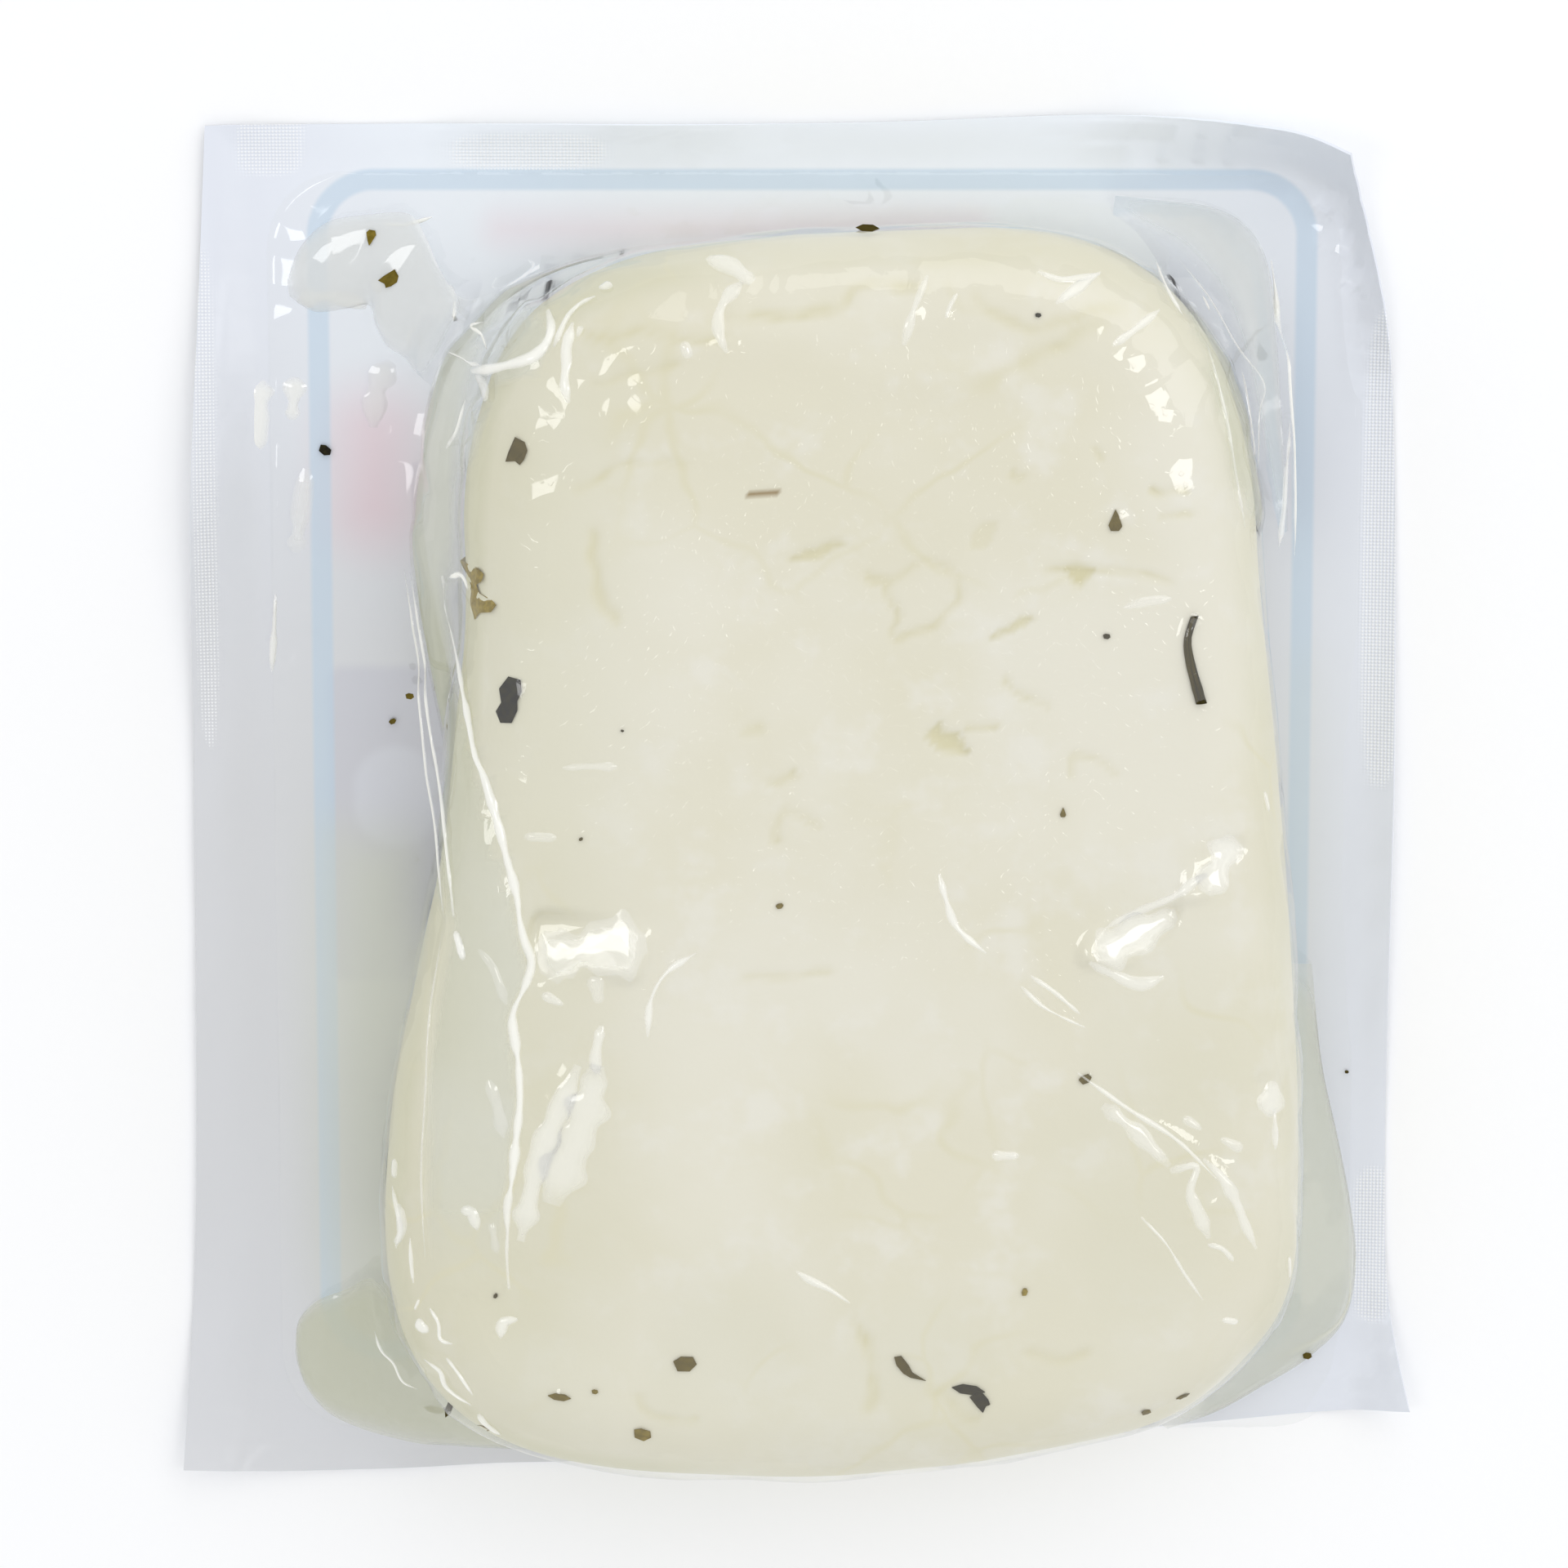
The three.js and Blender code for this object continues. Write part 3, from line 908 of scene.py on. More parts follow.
# %% Cheese cracks
# Each crack: its points, its depth and its width.
CRACKS = [
    ([(7.1, 27.1), (8.0, 25.9), (10.0, 26.0), (11.5, 26.6), (13.4, 27.7), (15.3, 27.1),
      (17.0, 27.1)], 0.3, 0.40),
    ([(17.0, 27.1), (16.7, 25.5), (16.6, 23.6), (14.7, 21.5), (12.7, 20.5), (9.7, 19.5)], 0.28, 0.38),
    ([(9.7, 19.5), (10.3, 22.0), (9.7, 24.9), (10.0, 26.0)], 0.28, 0.38),
    ([(24.8, 26.9), (26.1, 27.0), (27.4, 27.1), (30.5, 27.1), (33.1, 27.1), (36.0, 26.3),
      (39.5, 25.2)], 0.34, 0.36),
    ([(17.2, 10.5), (19.1, 10.5), (21.1, 10.5)], 0.34, 0.36),
    ([(-1.6, -2.0), (-2.0, -0.3), (-1.0, 1.6), (0.0, 1.4), (2.2, 0.5), (2.8, -0.3)], 0.26, 0.5),
    ([(-3.1, 5.0), (-2.1, 4.8), (-0.6, 5.3), (0.7, 5.9)], 0.36, 0.45),
    ([(-5.3, 10.6), (-4.2, 10.1), (-3.0, 10.5)], 0.24, 0.6),
    ([(21.0, 16.1), (22.6, 14.1), (24.2, 13.4), (26.5, 12.5)], 0.26, 0.4),
    ([(33.7, 5.0), (32.1, 6.5), (30.4, 7.3), (28.8, 7.3), (28.6, 5.0)], 0.22, 0.45),
    ([(21.9, 37.0), (23.1, 36.2), (23.8, 36.9)], 0.26, 0.4),
    ([(30.4, 39.4), (31.3, 38.0)], 0.26, 0.45),
    ([(35.6, 35.3), (36.9, 34.7), (38.9, 35.0), (40.7, 34.9)], 0.28, 0.45),
    ([(36.6, 32.3), (38.9, 32.5), (41.4, 32.1)], 0.2, 0.4),
    ([(-20.8, 31.6), (-20.4, 28.2), (-20.2, 25.3), (-19.0, 22.7), (-17.3, 21.0)], 0.26, 0.6),
    ([(-22.9, 35.0), (-20.6, 35.8), (-17.7, 37.5), (-14.3, 38.0), (-10.2, 37.5)], 0.24, 0.6),
    ([(-23.4, 51.0), (-19.3, 50.5), (-15.1, 51.4), (-10.1, 50.5), (-6.0, 51.4)], 0.3, 0.5),
    ([(-9.3, 52.6), (-1.9, 53.0), (3.9, 53.6), (7.2, 56.0), (14.7, 55.5)], 0.32, 0.55),
    ([(-3.5, 60.1), (2.3, 58.5), (8.9, 58.6), (17.1, 58.3), (23.7, 59.3)], 0.3, 0.6),
    ([(17.2, 55.1), (23.8, 51.8), (29.6, 53.0), (34.5, 53.6)], 0.26, 0.6),
    ([(-20.9, 46.6), (-19.3, 46.1), (-15.1, 47.2), (-11.0, 48.4)], 0.24, 0.5),
    ([(17.2, 45.1), (23.8, 48.4), (30.4, 51.8), (32.9, 52.2)], 0.24, 0.9),
    ([(5.8, -52.2), (7.7, -55.7), (8.3, -60.1), (7.7, -63.7)], 0.3, 0.6),
    ([(14.3, -60.1), (17.3, -62.4), (19.5, -63.7)], 0.3, 0.6),
    ([(23.7, -55.7), (27.9, -57.0), (31.3, -55.7)], 0.22, 0.6),
    ([(-16.4, -60.1), (-14.7, -62.8), (-9.6, -63.7)], 0.22, 0.5),
    ([(-6.1, -15.9), (-1.9, -15.7), (4.9, -15.1)], 0.2, 0.45),
]
# Gaps with a flat floor: their outline and depth.
GAPS = [
    ([(-0.7, 28.1), (-0.4, 27.5), (2.2, 28.1), (4.4, 28.8), (5.2, 29.6), (3.1, 29.8)], 0.3),
    ([(19.2, 19.2), (21.0, 19.6), (23.0, 20.6), (24.5, 21.6), (23.4, 22.2), (21.7, 21.1)], 0.3),
    ([(27.0, 27.2), (28.3, 27.6), (30.9, 27.3), (30.2, 26.0), (29.3, 25.1), (28.1, 26.2)], 0.42),
    ([(13.6, 9.8), (14.7, 11.3), (15.3, 10.4), (16.9, 10.0), (17.3, 8.9), (18.2, 7.7), (15.6, 7.8),
      (14.7, 8.6)], 0.36),
    ([(17.8, 29.5), (18.7, 31.4), (20.9, 31.6), (19.8, 29.2)], 0.14),
]
BROWN_SLIT = [(-4.9, 34.5), (-3.0, 34.75), (-1.2, 34.7)]
print(len(CRACKS), "cracks,", len(GAPS), "gaps and one brown slit")


def carve(x, y):
    """How deep the cracks are at each point."""
    wander = 0.35 * hills(x, y, 2.0, 31), 0.35 * hills(x, y, 2.0, 32)
    wx, wy = x + wander[0], y + wander[1]
    depth = np.zeros(x.shape)
    for points, deep, wide in CRACKS:
        distance, share = near_line(points, wx, wy, 5 * wide)
        ends = ramp(share, 0, 0.12) * ramp(1 - share, 0, 0.12)
        ragged = 0.65 + 0.35 * hills(x, y, 1.6, 33)
        depth = np.maximum(depth, deep * ends * ragged * np.exp(-((distance / wide) ** 2)))
    for outline, deep in GAPS:
        depth = np.maximum(depth, deep * ramp(inside(outline, wx, wy), -0.15, 0.35))
    return depth


# %% Cheese block
CHEESE_COLUMNS, CHEESE_ROWS, CHEESE_BORDER = 232, 306, 44
CHEESE_INSET, CHEESE_SINK = 0.3, 0.02
CHEESE_FOOT = FILM_TOP + 0.35
CHEESE_FOOT_ROUND = 4.0
# A crack this deep has its full mark.
DEEPEST = 0.4


def make_cheese():
    block, column, row = new_sheet(CHEESE_COLUMNS, CHEESE_ROWS)
    top = BLOCK_TOP - CHEESE_INSET
    views = side_views(top, CHEESE_INSET, CHEESE_BORDER, False, CHEESE_FOOT_ROUND, CHEESE_FOOT)
    flat = bend_over_block(column, row, CHEESE_COLUMNS, CHEESE_ROWS, CHEESE_BORDER, views, top)
    grid = relax(as_grid(flat, column, row, CHEESE_COLUMNS, CHEESE_ROWS), 4)
    x, y = grid[..., 0], grid[..., 1]
    normals = grid_normals(grid)
    on_top = how_much_on_top(grid, normals)
    depth = carve(x, y) * on_top
    slit_distance, slit_share = near_line(BROWN_SLIT, x, y, 2)
    slit_ends = ramp(slit_share, 0, 0.1) * ramp(1 - slit_share, 0, 0.1)
    slit = on_top * ramp(0.42 - np.abs(slit_distance), 0, 0.3) * slit_ends
    folds = shared_folds(x, y, grid[..., 2], on_top)
    grid += normals * (folds - depth - 0.25 * slit)[..., None]
    for edge in (grid[0], grid[-1], grid[:, 0], grid[:, -1]):
        edge[:, 2] = CHEESE_FOOT
    write_points(block, to_metres(grid[row, column]))
    wet = ramp(-y, -8, 40) * 0.6 * ramp(hills(x, y, 24, 9) + 0.5 * hills(x, y, 11, 10), -0.6, 0.9)
    wet = np.maximum(0.5 * wet, 0.5 * ramp(-x, 8, 30))
    wet = np.maximum(wet, (1 - on_top) * (0.4 + 0.6 * ramp(-x, 0, 25)))
    for name, values in (("crack", np.clip(depth / DEEPEST, 0, 1)), ("wet", wet), ("slit", slit)):
        add_mark(block, name, values[row, column])
    close_underneath(block, CHEESE_SINK)
    return block, grid


cheese, cheese_grid = make_cheese()
finish_piece(cheese, "cheese_block", "cheese", cheese_look)

# %% [markdown]
# ## The clear film
# The film is drawn down by the vacuum, so it lies on the cheese with hardly a gap. What is left of its length
# gathers in creases: long ones down the left side, where the formed pocket was wider than the block, short
# fans at the corners, and soft dents on the top. A broad fold full of whey lies along the left edge.

# %% Folds full of whey that lie on the block
FULL_FOLDS = {
    "left_fold": ([(-39.2, 29.0), (-36.5, 24.4), (-35.1, 17.5), (-33.6, 10.1), (-32.0, 4.7), (-30.5, -0.3),
                   (-29.7, -3.6), (-28.6, -7.5), (-28.3, -10.1), (-27.8, -12.5), (-27.2, -14.7),
                   (-27.7, -16.8), (-28.9, -19.4), (-29.2, -21.0), (-28.8, -23.3), (-28.5, -26.2),
                   (-28.5, -29.7), (-28.8, -33.5), (-29.4, -38.0), (-29.9, -41.0), (-29.9, -43.9),
                   (-29.9, -46.5), (-29.8, -50.1), (-31.4, -54.7), (-34.8, -56.3), (-37.5, -52.7),
                   (-38.2, -45.4), (-38.6, -38.4), (-38.5, -34.1), (-38.1, -28.0), (-37.6, -20.7),
                   (-37.1, -16.4), (-36.1, -11.0), (-36.5, -8.8), (-37.9, -1.0), (-39.0, 8.5),
                   (-39.9, 18.8), (-40.2, 25.6)], 0.7),
    "far_left_fold": ([(-36.5, 53.4), (-31.3, 54.0), (-27.1, 53.2), (-24.8, 51.6), (-25.3, 48.6),
                       (-27.8, 46.2), (-32.6, 44.6), (-32.0, 41.3), (-34.2, 35.0), (-38.0, 33.0),
                       (-39.6, 45.0)], 0.7),
    "far_right_fold": ([(35.0, 60.0), (38.4, 57.0), (40.6, 51.6), (43.0, 44.0), (45.4, 34.5), (49.0, 30.0),
                        (50.4, 45.0), (46.0, 57.0)], 0.5),
}

# Between these two places along the block the left fold clears up, and between these two it sinks.
FOLD_FADES, FOLD_SINKS = (-51, -36), (-58, -50)
print("the left fold clears up between", FOLD_FADES, "mm along the block")

# %% Creases in the film
# Each crease: its points, its height, and how wide its left and its right flank are.
CREASES = [
    ([(-19.7, 55.5), (-22.6, 52.9), (-23.7, 51.1), (-24.6, 48.6)], 0.20, 0.7, 1.1),
    ([(-22.2, 52.4), (-22.9, 49.0), (-23.1, 46.9), (-22.8, 43.4)], 0.17, 0.8, 0.9),
    ([(-3.4, 56.6), (-5.6, 52.9), (-7.3, 51.2), (-7.7, 48.5)], 0.23, 0.8, 1.2),
    ([(-6.2, 51.6), (-5.6, 48.7), (-4.7, 46.9)], 0.17, 0.7, 0.9),
    ([(-2.1, 57.4), (-2.9, 53.3), (-3.7, 50.6)], 0.17, 0.7, 0.8),
    ([(-0.4, 57.0), (-1.4, 53.3), (-1.6, 51.6)], 0.15, 0.6, 0.7),
    ([(14.1, 57.8), (12.2, 53.7), (10.2, 50.0)], 0.25, 1.0, 1.5),
    ([(17.4, 56.6), (15.5, 54.1), (15.0, 52.1)], 0.17, 0.7, 1.0),
    ([(32.5, 57.9), (28.4, 55.5), (25.5, 53.2)], 0.20, 0.8, 1.4),
    ([(24.0, 57.9), (25.6, 57.0), (27.3, 56.7)], 0.15, 0.8, 0.8),
    ([(37.9, 56.0), (35.9, 54.2), (33.6, 53.6)], 0.17, 0.8, 1.1),
    ([(38.1, 54.1), (34.0, 51.4), (31.1, 49.2)], 0.21, 0.9, 1.4),
    ([(38.7, 47.5), (36.4, 46.2), (34.3, 45.2)], 0.15, 0.8, 1.2),
    ([(-20.9, -22.0), (-23.1, -25.4), (-25.5, -30.4), (-27.6, -37.7), (-28.6, -44.5)], 0.30, 1.6, 2.4),
    ([(-19.2, -19.9), (-19.8, -25.7), (-21.4, -32.0), (-23.5, -37.6), (-25.6, -41.8)], 0.32, 1.6, 2.6),
    ([(-9.3, -12.6), (-13.1, -14.8), (-14.9, -18.0), (-15.4, -23.4)], 0.19, 1.2, 1.5),
    ([(14.7, -3.6), (15.8, -8.5), (17.5, -11.7), (20.9, -14.3)], 0.21, 1.4, 1.0),
    ([(46.6, -1.0), (43.6, -4.6), (42.6, -7.0), (39.4, -8.3), (35.5, -9.2), (31.3, -10.6),
      (29.8, -13.8)], 0.20, 1.3, 1.6),
    ([(30.0, -12.9), (32.8, -15.2), (36.2, -16.5), (38.8, -15.9)], 0.20, 1.1, 1.4),
    ([(22.0, -14.6), (26.8, -16.6), (31.4, -17.6)], 0.15, 0.9, 0.9),
    ([(23.0, -17.4), (27.7, -20.4), (30.4, -21.3)], 0.15, 0.9, 0.9),
    ([(27.5, -24.2), (36.2, -30.7), (42.2, -34.6), (45.9, -39.0), (48.6, -46.6)], 0.20, 1.0, 0.9),
    ([(30.5, -27.9), (36.2, -33.5), (40.5, -36.7), (43.1, -42.5), (46.1, -49.4)], 0.28, 2.0, 1.3),
    ([(41.5, -35.0), (45.5, -38.6), (48.4, -43.2), (49.6, -46.8)], 0.25, 1.5, 1.2),
    ([(35.0, -39.9), (39.8, -45.4), (43.5, -51.2)], 0.16, 0.9, 0.9),
    ([(-1.8, -47.0), (3.2, -49.2), (8.5, -52.6)], 0.17, 1.2, 1.0),
]
# Where the film is crumpled all over: the middle, the two half widths and the strength.
CRUMPLES = [((-27, 43), 4, 7, 0.3), ((-38, -59), 6, 9, 0.9), ((-39, 49), 5, 4.5, 0.9), ((44, 45), 5, 11, 0.5),
            ((43, -42), 7, 8, 0.35), ((-47, 56), 7, 5, 0.35)]
# Where the one stem of mint lies.
STEM = [(40.9, 22.0), (40.2, 19.6), (40.5, 17.2), (41.1, 15.0), (41.7, 12.9)]
print(len(FULL_FOLDS), "folds full of whey,", len(CREASES), "creases,", len(CRUMPLES), "crumpled places")

# %% Film sheet
FILM_COLUMNS, FILM_ROWS, FILM_BORDER = 272, 342, 58
FILM_FOOT, FILM_SINK = FILM_TOP + 0.05, 0.12
# Where the bits of mint lie under the film: the place and the size of each one's bump.
BUMPS = [(-28.2, 38.8, 1.5), (32.7, 32.0, 1.1), (-33.0, 23.6, 2.2), (-29.3, 13.1, 2.0), (30.1, -26.6, 0.8),
         (-11.4, -57.3, 1.2), (11.7, -57.8, 1.2), (18.4, -60.5, 1.4), (-15.9, -65.2, 1.0),
         (-24.5, -61.1, 1.0)]


def make_film():
    sheet, column, row = new_sheet(FILM_COLUMNS, FILM_ROWS)
    views = side_views(BLOCK_TOP, 0, FILM_BORDER, True, 0, FILM_FOOT)
    flat = bend_over_block(column, row, FILM_COLUMNS, FILM_ROWS, FILM_BORDER, views, BLOCK_TOP)
    grid = relax(as_grid(flat, column, row, FILM_COLUMNS, FILM_ROWS), 6)
    x, y, z = grid[..., 0], grid[..., 1], grid[..., 2]
    normals = grid_normals(grid)
    on_top = how_much_on_top(grid, normals)
    on_side = ramp(z, 1.5, 5) * (1 - on_top)
    rise = shared_folds(x, y, z, on_top) + 0.09 * on_top * (facets(x, y, 8, 45) + 1)
    for points, height, left, right in CREASES:
        rise += crease(points, x, y, height, left, right) * ramp(z, 0.6, 2.5)
    for outline, height in FULL_FOLDS.values():
        swollen = height * ramp(inside(outline, x, y), -0.4, 1.2) * ramp(z, 4, 9) * ramp(y, *FOLD_SINKS)
        rise += swollen * (1 + 0.15 * facets(x, 0.4 * y, 5, 48))
    for (middle_x, middle_y), half_x, half_y, strength in CRUMPLES:
        near = np.exp(-(((x - middle_x) / half_x) ** 2 + ((y - middle_y) / half_y) ** 2))
        rise += strength * 0.75 * near * (facets(x, y, 3.2, 42) + 0.5) * ramp(z, 0.5, 2)
    rise += on_side * 0.22 * (facets(x + y, 2 * z, 6, 43) + 1)
    rise += (1 - ramp(z, 1.0, 3.0)) * 0.10 * (hills(x, y, 7, 47) + 1)
    for middle_x, middle_y, size in BUMPS:
        rise += 0.22 * np.exp(-(((x - middle_x) ** 2 + (y - middle_y) ** 2) / size**2)) * ramp(z, 8, 12)
    rise += crease(STEM, x, y, 0.55, 1.1, 1.1, 0.1) * on_top
    across, along = np.arange(FILM_COLUMNS + 1)[None, :], np.arange(FILM_ROWS + 1)[:, None]
    border = np.minimum(np.minimum(across, FILM_COLUMNS - across), np.minimum(along, FILM_ROWS - along))
    grid += normals * (rise * ramp(border, 0, 6))[..., None]
    grid[..., 2] = np.maximum(grid[..., 2], FILM_FOOT)
    write_points(sheet, to_metres(grid[row, column]))
    tight = on_top * np.exp(-(((x - 10) / 26) ** 2 + ((y - 16) / 30) ** 2))
    add_mark(sheet, "tight", tight[row, column])
    slack = np.clip(ramp(np.hypot((x - 8) / 42, (y - 14) / 52), 0.62, 1.05) + 0.25, 0, 1)
    add_mark(sheet, "slack", slack[row, column])
    close_underneath(sheet, FILM_SINK)
    return sheet, grid


film, film_grid = make_film()
finish_piece(film, "clear_film", "clear_film", film_look, underside_look)
for face in film.data.polygons:
    face.material_index = 0 if len(face.vertices) == 4 else 1
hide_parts("filled_pocket")

# %% [markdown]
# ## The whey
# Whey gathers wherever the film stands off from the cheese: round the foot of the block, in the ears and in
# the folds along the left edge. So its upper side is the film's own shape, a little lower, cut off where the
# film is tight. That sheet is thickened, and its lower side is pressed flat just inside the backing film,
# which hides it, so light has fewer clear walls to get through. Under the block, the cheese hides it.

# %% Whey
WHEY_STEP = 2
UNDER_FILM = 0.32
WHEY_FOOT = FILM_TOP - 0.06
WHEY_THICKNESS = 0.5
LEAST_WHEY = 0.02


def how_deep(x, y, z):
    """The whey's mark: 0 for none and 1 for a deep layer."""
    outward = -inside(BLOCK_OUTLINE, x, y)
    gap = outward - swell(z)
    depth = ramp(gap, 0.9, 1.9) * ramp(z - FILM_FOOT, 0.35, 2.0)
    depth *= 1 - ramp(y, 55, 59) * ramp(x, -32, -28) * ramp(-x, -31, -27)
    for outline, _ in FULL_FOLDS.values():
        fold = ramp(inside(outline, x, y), -0.1, 0.6) * ramp(z, 12, 17) * ramp(y, *FOLD_FADES)
        depth = np.maximum(depth, 0.6 * fold)
    return depth


def make_whey():
    grid = film_grid[::WHEY_STEP, ::WHEY_STEP]
    rows, columns = grid.shape[0] - 1, grid.shape[1] - 1
    sheet, column, row = new_sheet(columns, rows)
    depth = how_deep(grid[..., 0], grid[..., 1], grid[..., 2])
    lowered = grid - grid_normals(grid) * UNDER_FILM
    lowered[..., 2] = np.maximum(lowered[..., 2], FILM_TOP + 0.03)
    points, depth = lowered[row, column], depth[row, column]
    write_points(sheet, to_metres(points))
    add_mark(sheet, "depth", depth)
    add_mark(sheet, "tone", 0.68 + 0.25 * hills(points[:, 0], points[:, 1], 12, 52))
    only(sheet)
    bpy.ops.object.mode_set(mode="EDIT")
    bpy.ops.mesh.select_mode(type="FACE")
    bpy.ops.mesh.select_all(action="DESELECT")
    bpy.ops.object.mode_set(mode="OBJECT")
    for face in sheet.data.polygons:
        face.select = bool(max(depth[corner] for corner in face.vertices) < LEAST_WHEY)
    bpy.ops.object.mode_set(mode="EDIT")
    bpy.ops.mesh.delete(type="FACE")
    bpy.ops.object.mode_set(mode="OBJECT")
    thicken(sheet, WHEY_THICKNESS, whey_look, underside_look, foot=WHEY_FOOT)
    return sheet


finish_piece(make_whey(), "whey", "whey")

# %% [markdown]
# ## The ears
# At three corners and beside the right edge the slack film has been pressed into flat ears with whey in them.
# Each ear is a sheet stretched between two side lines and thickened down to the backing film. Only its upper
# side has gloss and cloud.

# %% Ears of slack film
# Each ear: its two side lines as x, y and height, how much it is swollen, and its tone.
EARS = {
    "far_left_ear": (
        [(-52.9, 53.0, 0.5), (-51.6, 56.5, 0.8), (-48.6, 59.4, 1.5), (-44.3, 60.3, 2.2), (-40.0, 60.5, 3.2),
         (-38.2, 58.2, 4.2), (-36.7, 55.1, 6.0), (-34.8, 52.9, 9.0), (-32.5, 53.0, 13.0)],
        [(-52.7, 51.5, 0.5), (-50.1, 49.9, 0.9), (-46.6, 50.3, 1.4), (-44.3, 50.7, 2.0), (-43.6, 48.8, 3.0),
         (-42.4, 46.8, 4.0), (-40.4, 45.8, 6.0), (-39.2, 44.8, 9.0), (-37.4, 44.0, 13.0)], 0.8, 0.1),
    "far_right_flap": (
        [(33.3, 62.5, 4.0), (38.0, 61.8, 2.5), (43.1, 61.1, 1.8), (46.6, 59.4, 1.4), (49.0, 56.1, 1.2),
         (50.1, 50.9, 1.2), (50.7, 44.1, 1.2), (51.3, 36.3, 1.2), (51.7, 31.1, 1.2), (51.9, 26.8, 1.5)],
        [(32.6, 61.9, 14.0), (35.0, 60.3, 16.0), (37.3, 57.2, 18.0), (39.8, 53.2, 18.0), (42.2, 49.2, 18.0),
         (44.3, 45.0, 18.0), (46.3, 40.2, 17.0), (47.9, 35.8, 16.0), (49.2, 32.0, 14.0),
         (50.4, 28.2, 12.0)], 0.4, 0.2),
    "near_left_pool": (
        [(-53.6, -63.0, 0.6), (-53.2, -59.5, 0.9), (-51.0, -57.0, 1.6), (-47.8, -55.5, 2.4),
         (-45.1, -53.9, 4.0), (-42.4, -55.5, 8.0), (-40.6, -58.1, 10.0), (-37.4, -61.0, 11.0),
         (-34.5, -63.8, 11.0), (-31.2, -66.4, 11.0)],
        [(-53.4, -64.4, 0.6), (-52.4, -67.0, 0.8), (-50.1, -69.7, 1.0), (-46.8, -71.4, 1.0),
         (-43.3, -72.5, 1.0), (-40.2, -73.2, 1.0), (-37.3, -73.4, 1.0), (-34.5, -73.6, 1.0),
         (-31.0, -73.8, 1.0), (-27.5, -74.0, 1.0)], 0.5, 1.0),
    "near_right_pool": (
        [(50.4, -17.4, 12.0), (51.2, -28.0, 12.0), (52.0, -36.9, 12.0), (52.4, -44.0, 12.0),
         (52.0, -50.2, 12.0), (50.4, -55.2, 12.0), (47.8, -59.2, 12.0), (44.4, -62.6, 12.0),
         (41.0, -65.0, 12.0), (36.9, -66.1, 12.0)],
        [(55.1, -20.1, 0.8), (56.3, -30.8, 0.8), (58.3, -39.8, 0.8), (59.7, -47.0, 0.9), (60.3, -53.4, 0.9),
         (59.1, -59.5, 0.9), (55.2, -63.7, 0.9), (50.4, -66.8, 0.9), (45.6, -69.6, 0.9),
         (40.3, -71.6, 0.8)], -1.5, 0.75),
}

# %% Ear sheets
EAR_ROWS, EAR_COLUMNS = 110, 30
# The whey's mark at the rim of an ear and in its middle.
EAR_EDGE_DEPTH, EAR_FULL_DEPTH = 0.45, 0.95


def make_ear(first, second, swollen, tone):
    sheet, column, row = new_sheet(EAR_COLUMNS, EAR_ROWS)
    first, second = (evenly_spaced(smooth_line(side), EAR_ROWS + 1) for side in (first, second))
    across, along = column / EAR_COLUMNS, row / EAR_ROWS
    points = first[row] * (1 - across)[:, None] + second[row] * across[:, None]
    rim = 4 * across * (1 - across) * ramp(along, 0, 0.15) * ramp(1 - along, 0, 0.1)
    points[:, 2] += swollen * np.sqrt(rim) + 0.2 * rim * facets(points[:, 0], points[:, 1], 4, 51)
    points[:, 2] = np.maximum(points[:, 2], FILM_FOOT + 0.1)
    write_points(sheet, to_metres(points))
    depth = EAR_EDGE_DEPTH + (EAR_FULL_DEPTH - EAR_EDGE_DEPTH) * ramp(np.sqrt(rim), 0.1, 0.8)
    add_mark(sheet, "depth", depth * (1 - ramp(points[:, 2], 8, 14)))
    add_mark(sheet, "tone", np.full(len(points), tone))
    thicken(sheet, WHEY_THICKNESS, ear_look, underside_look, foot=WHEY_FOOT)
    return sheet


join_as([make_ear(*ear) for ear in EARS.values()], "film_ears", "clear_film")
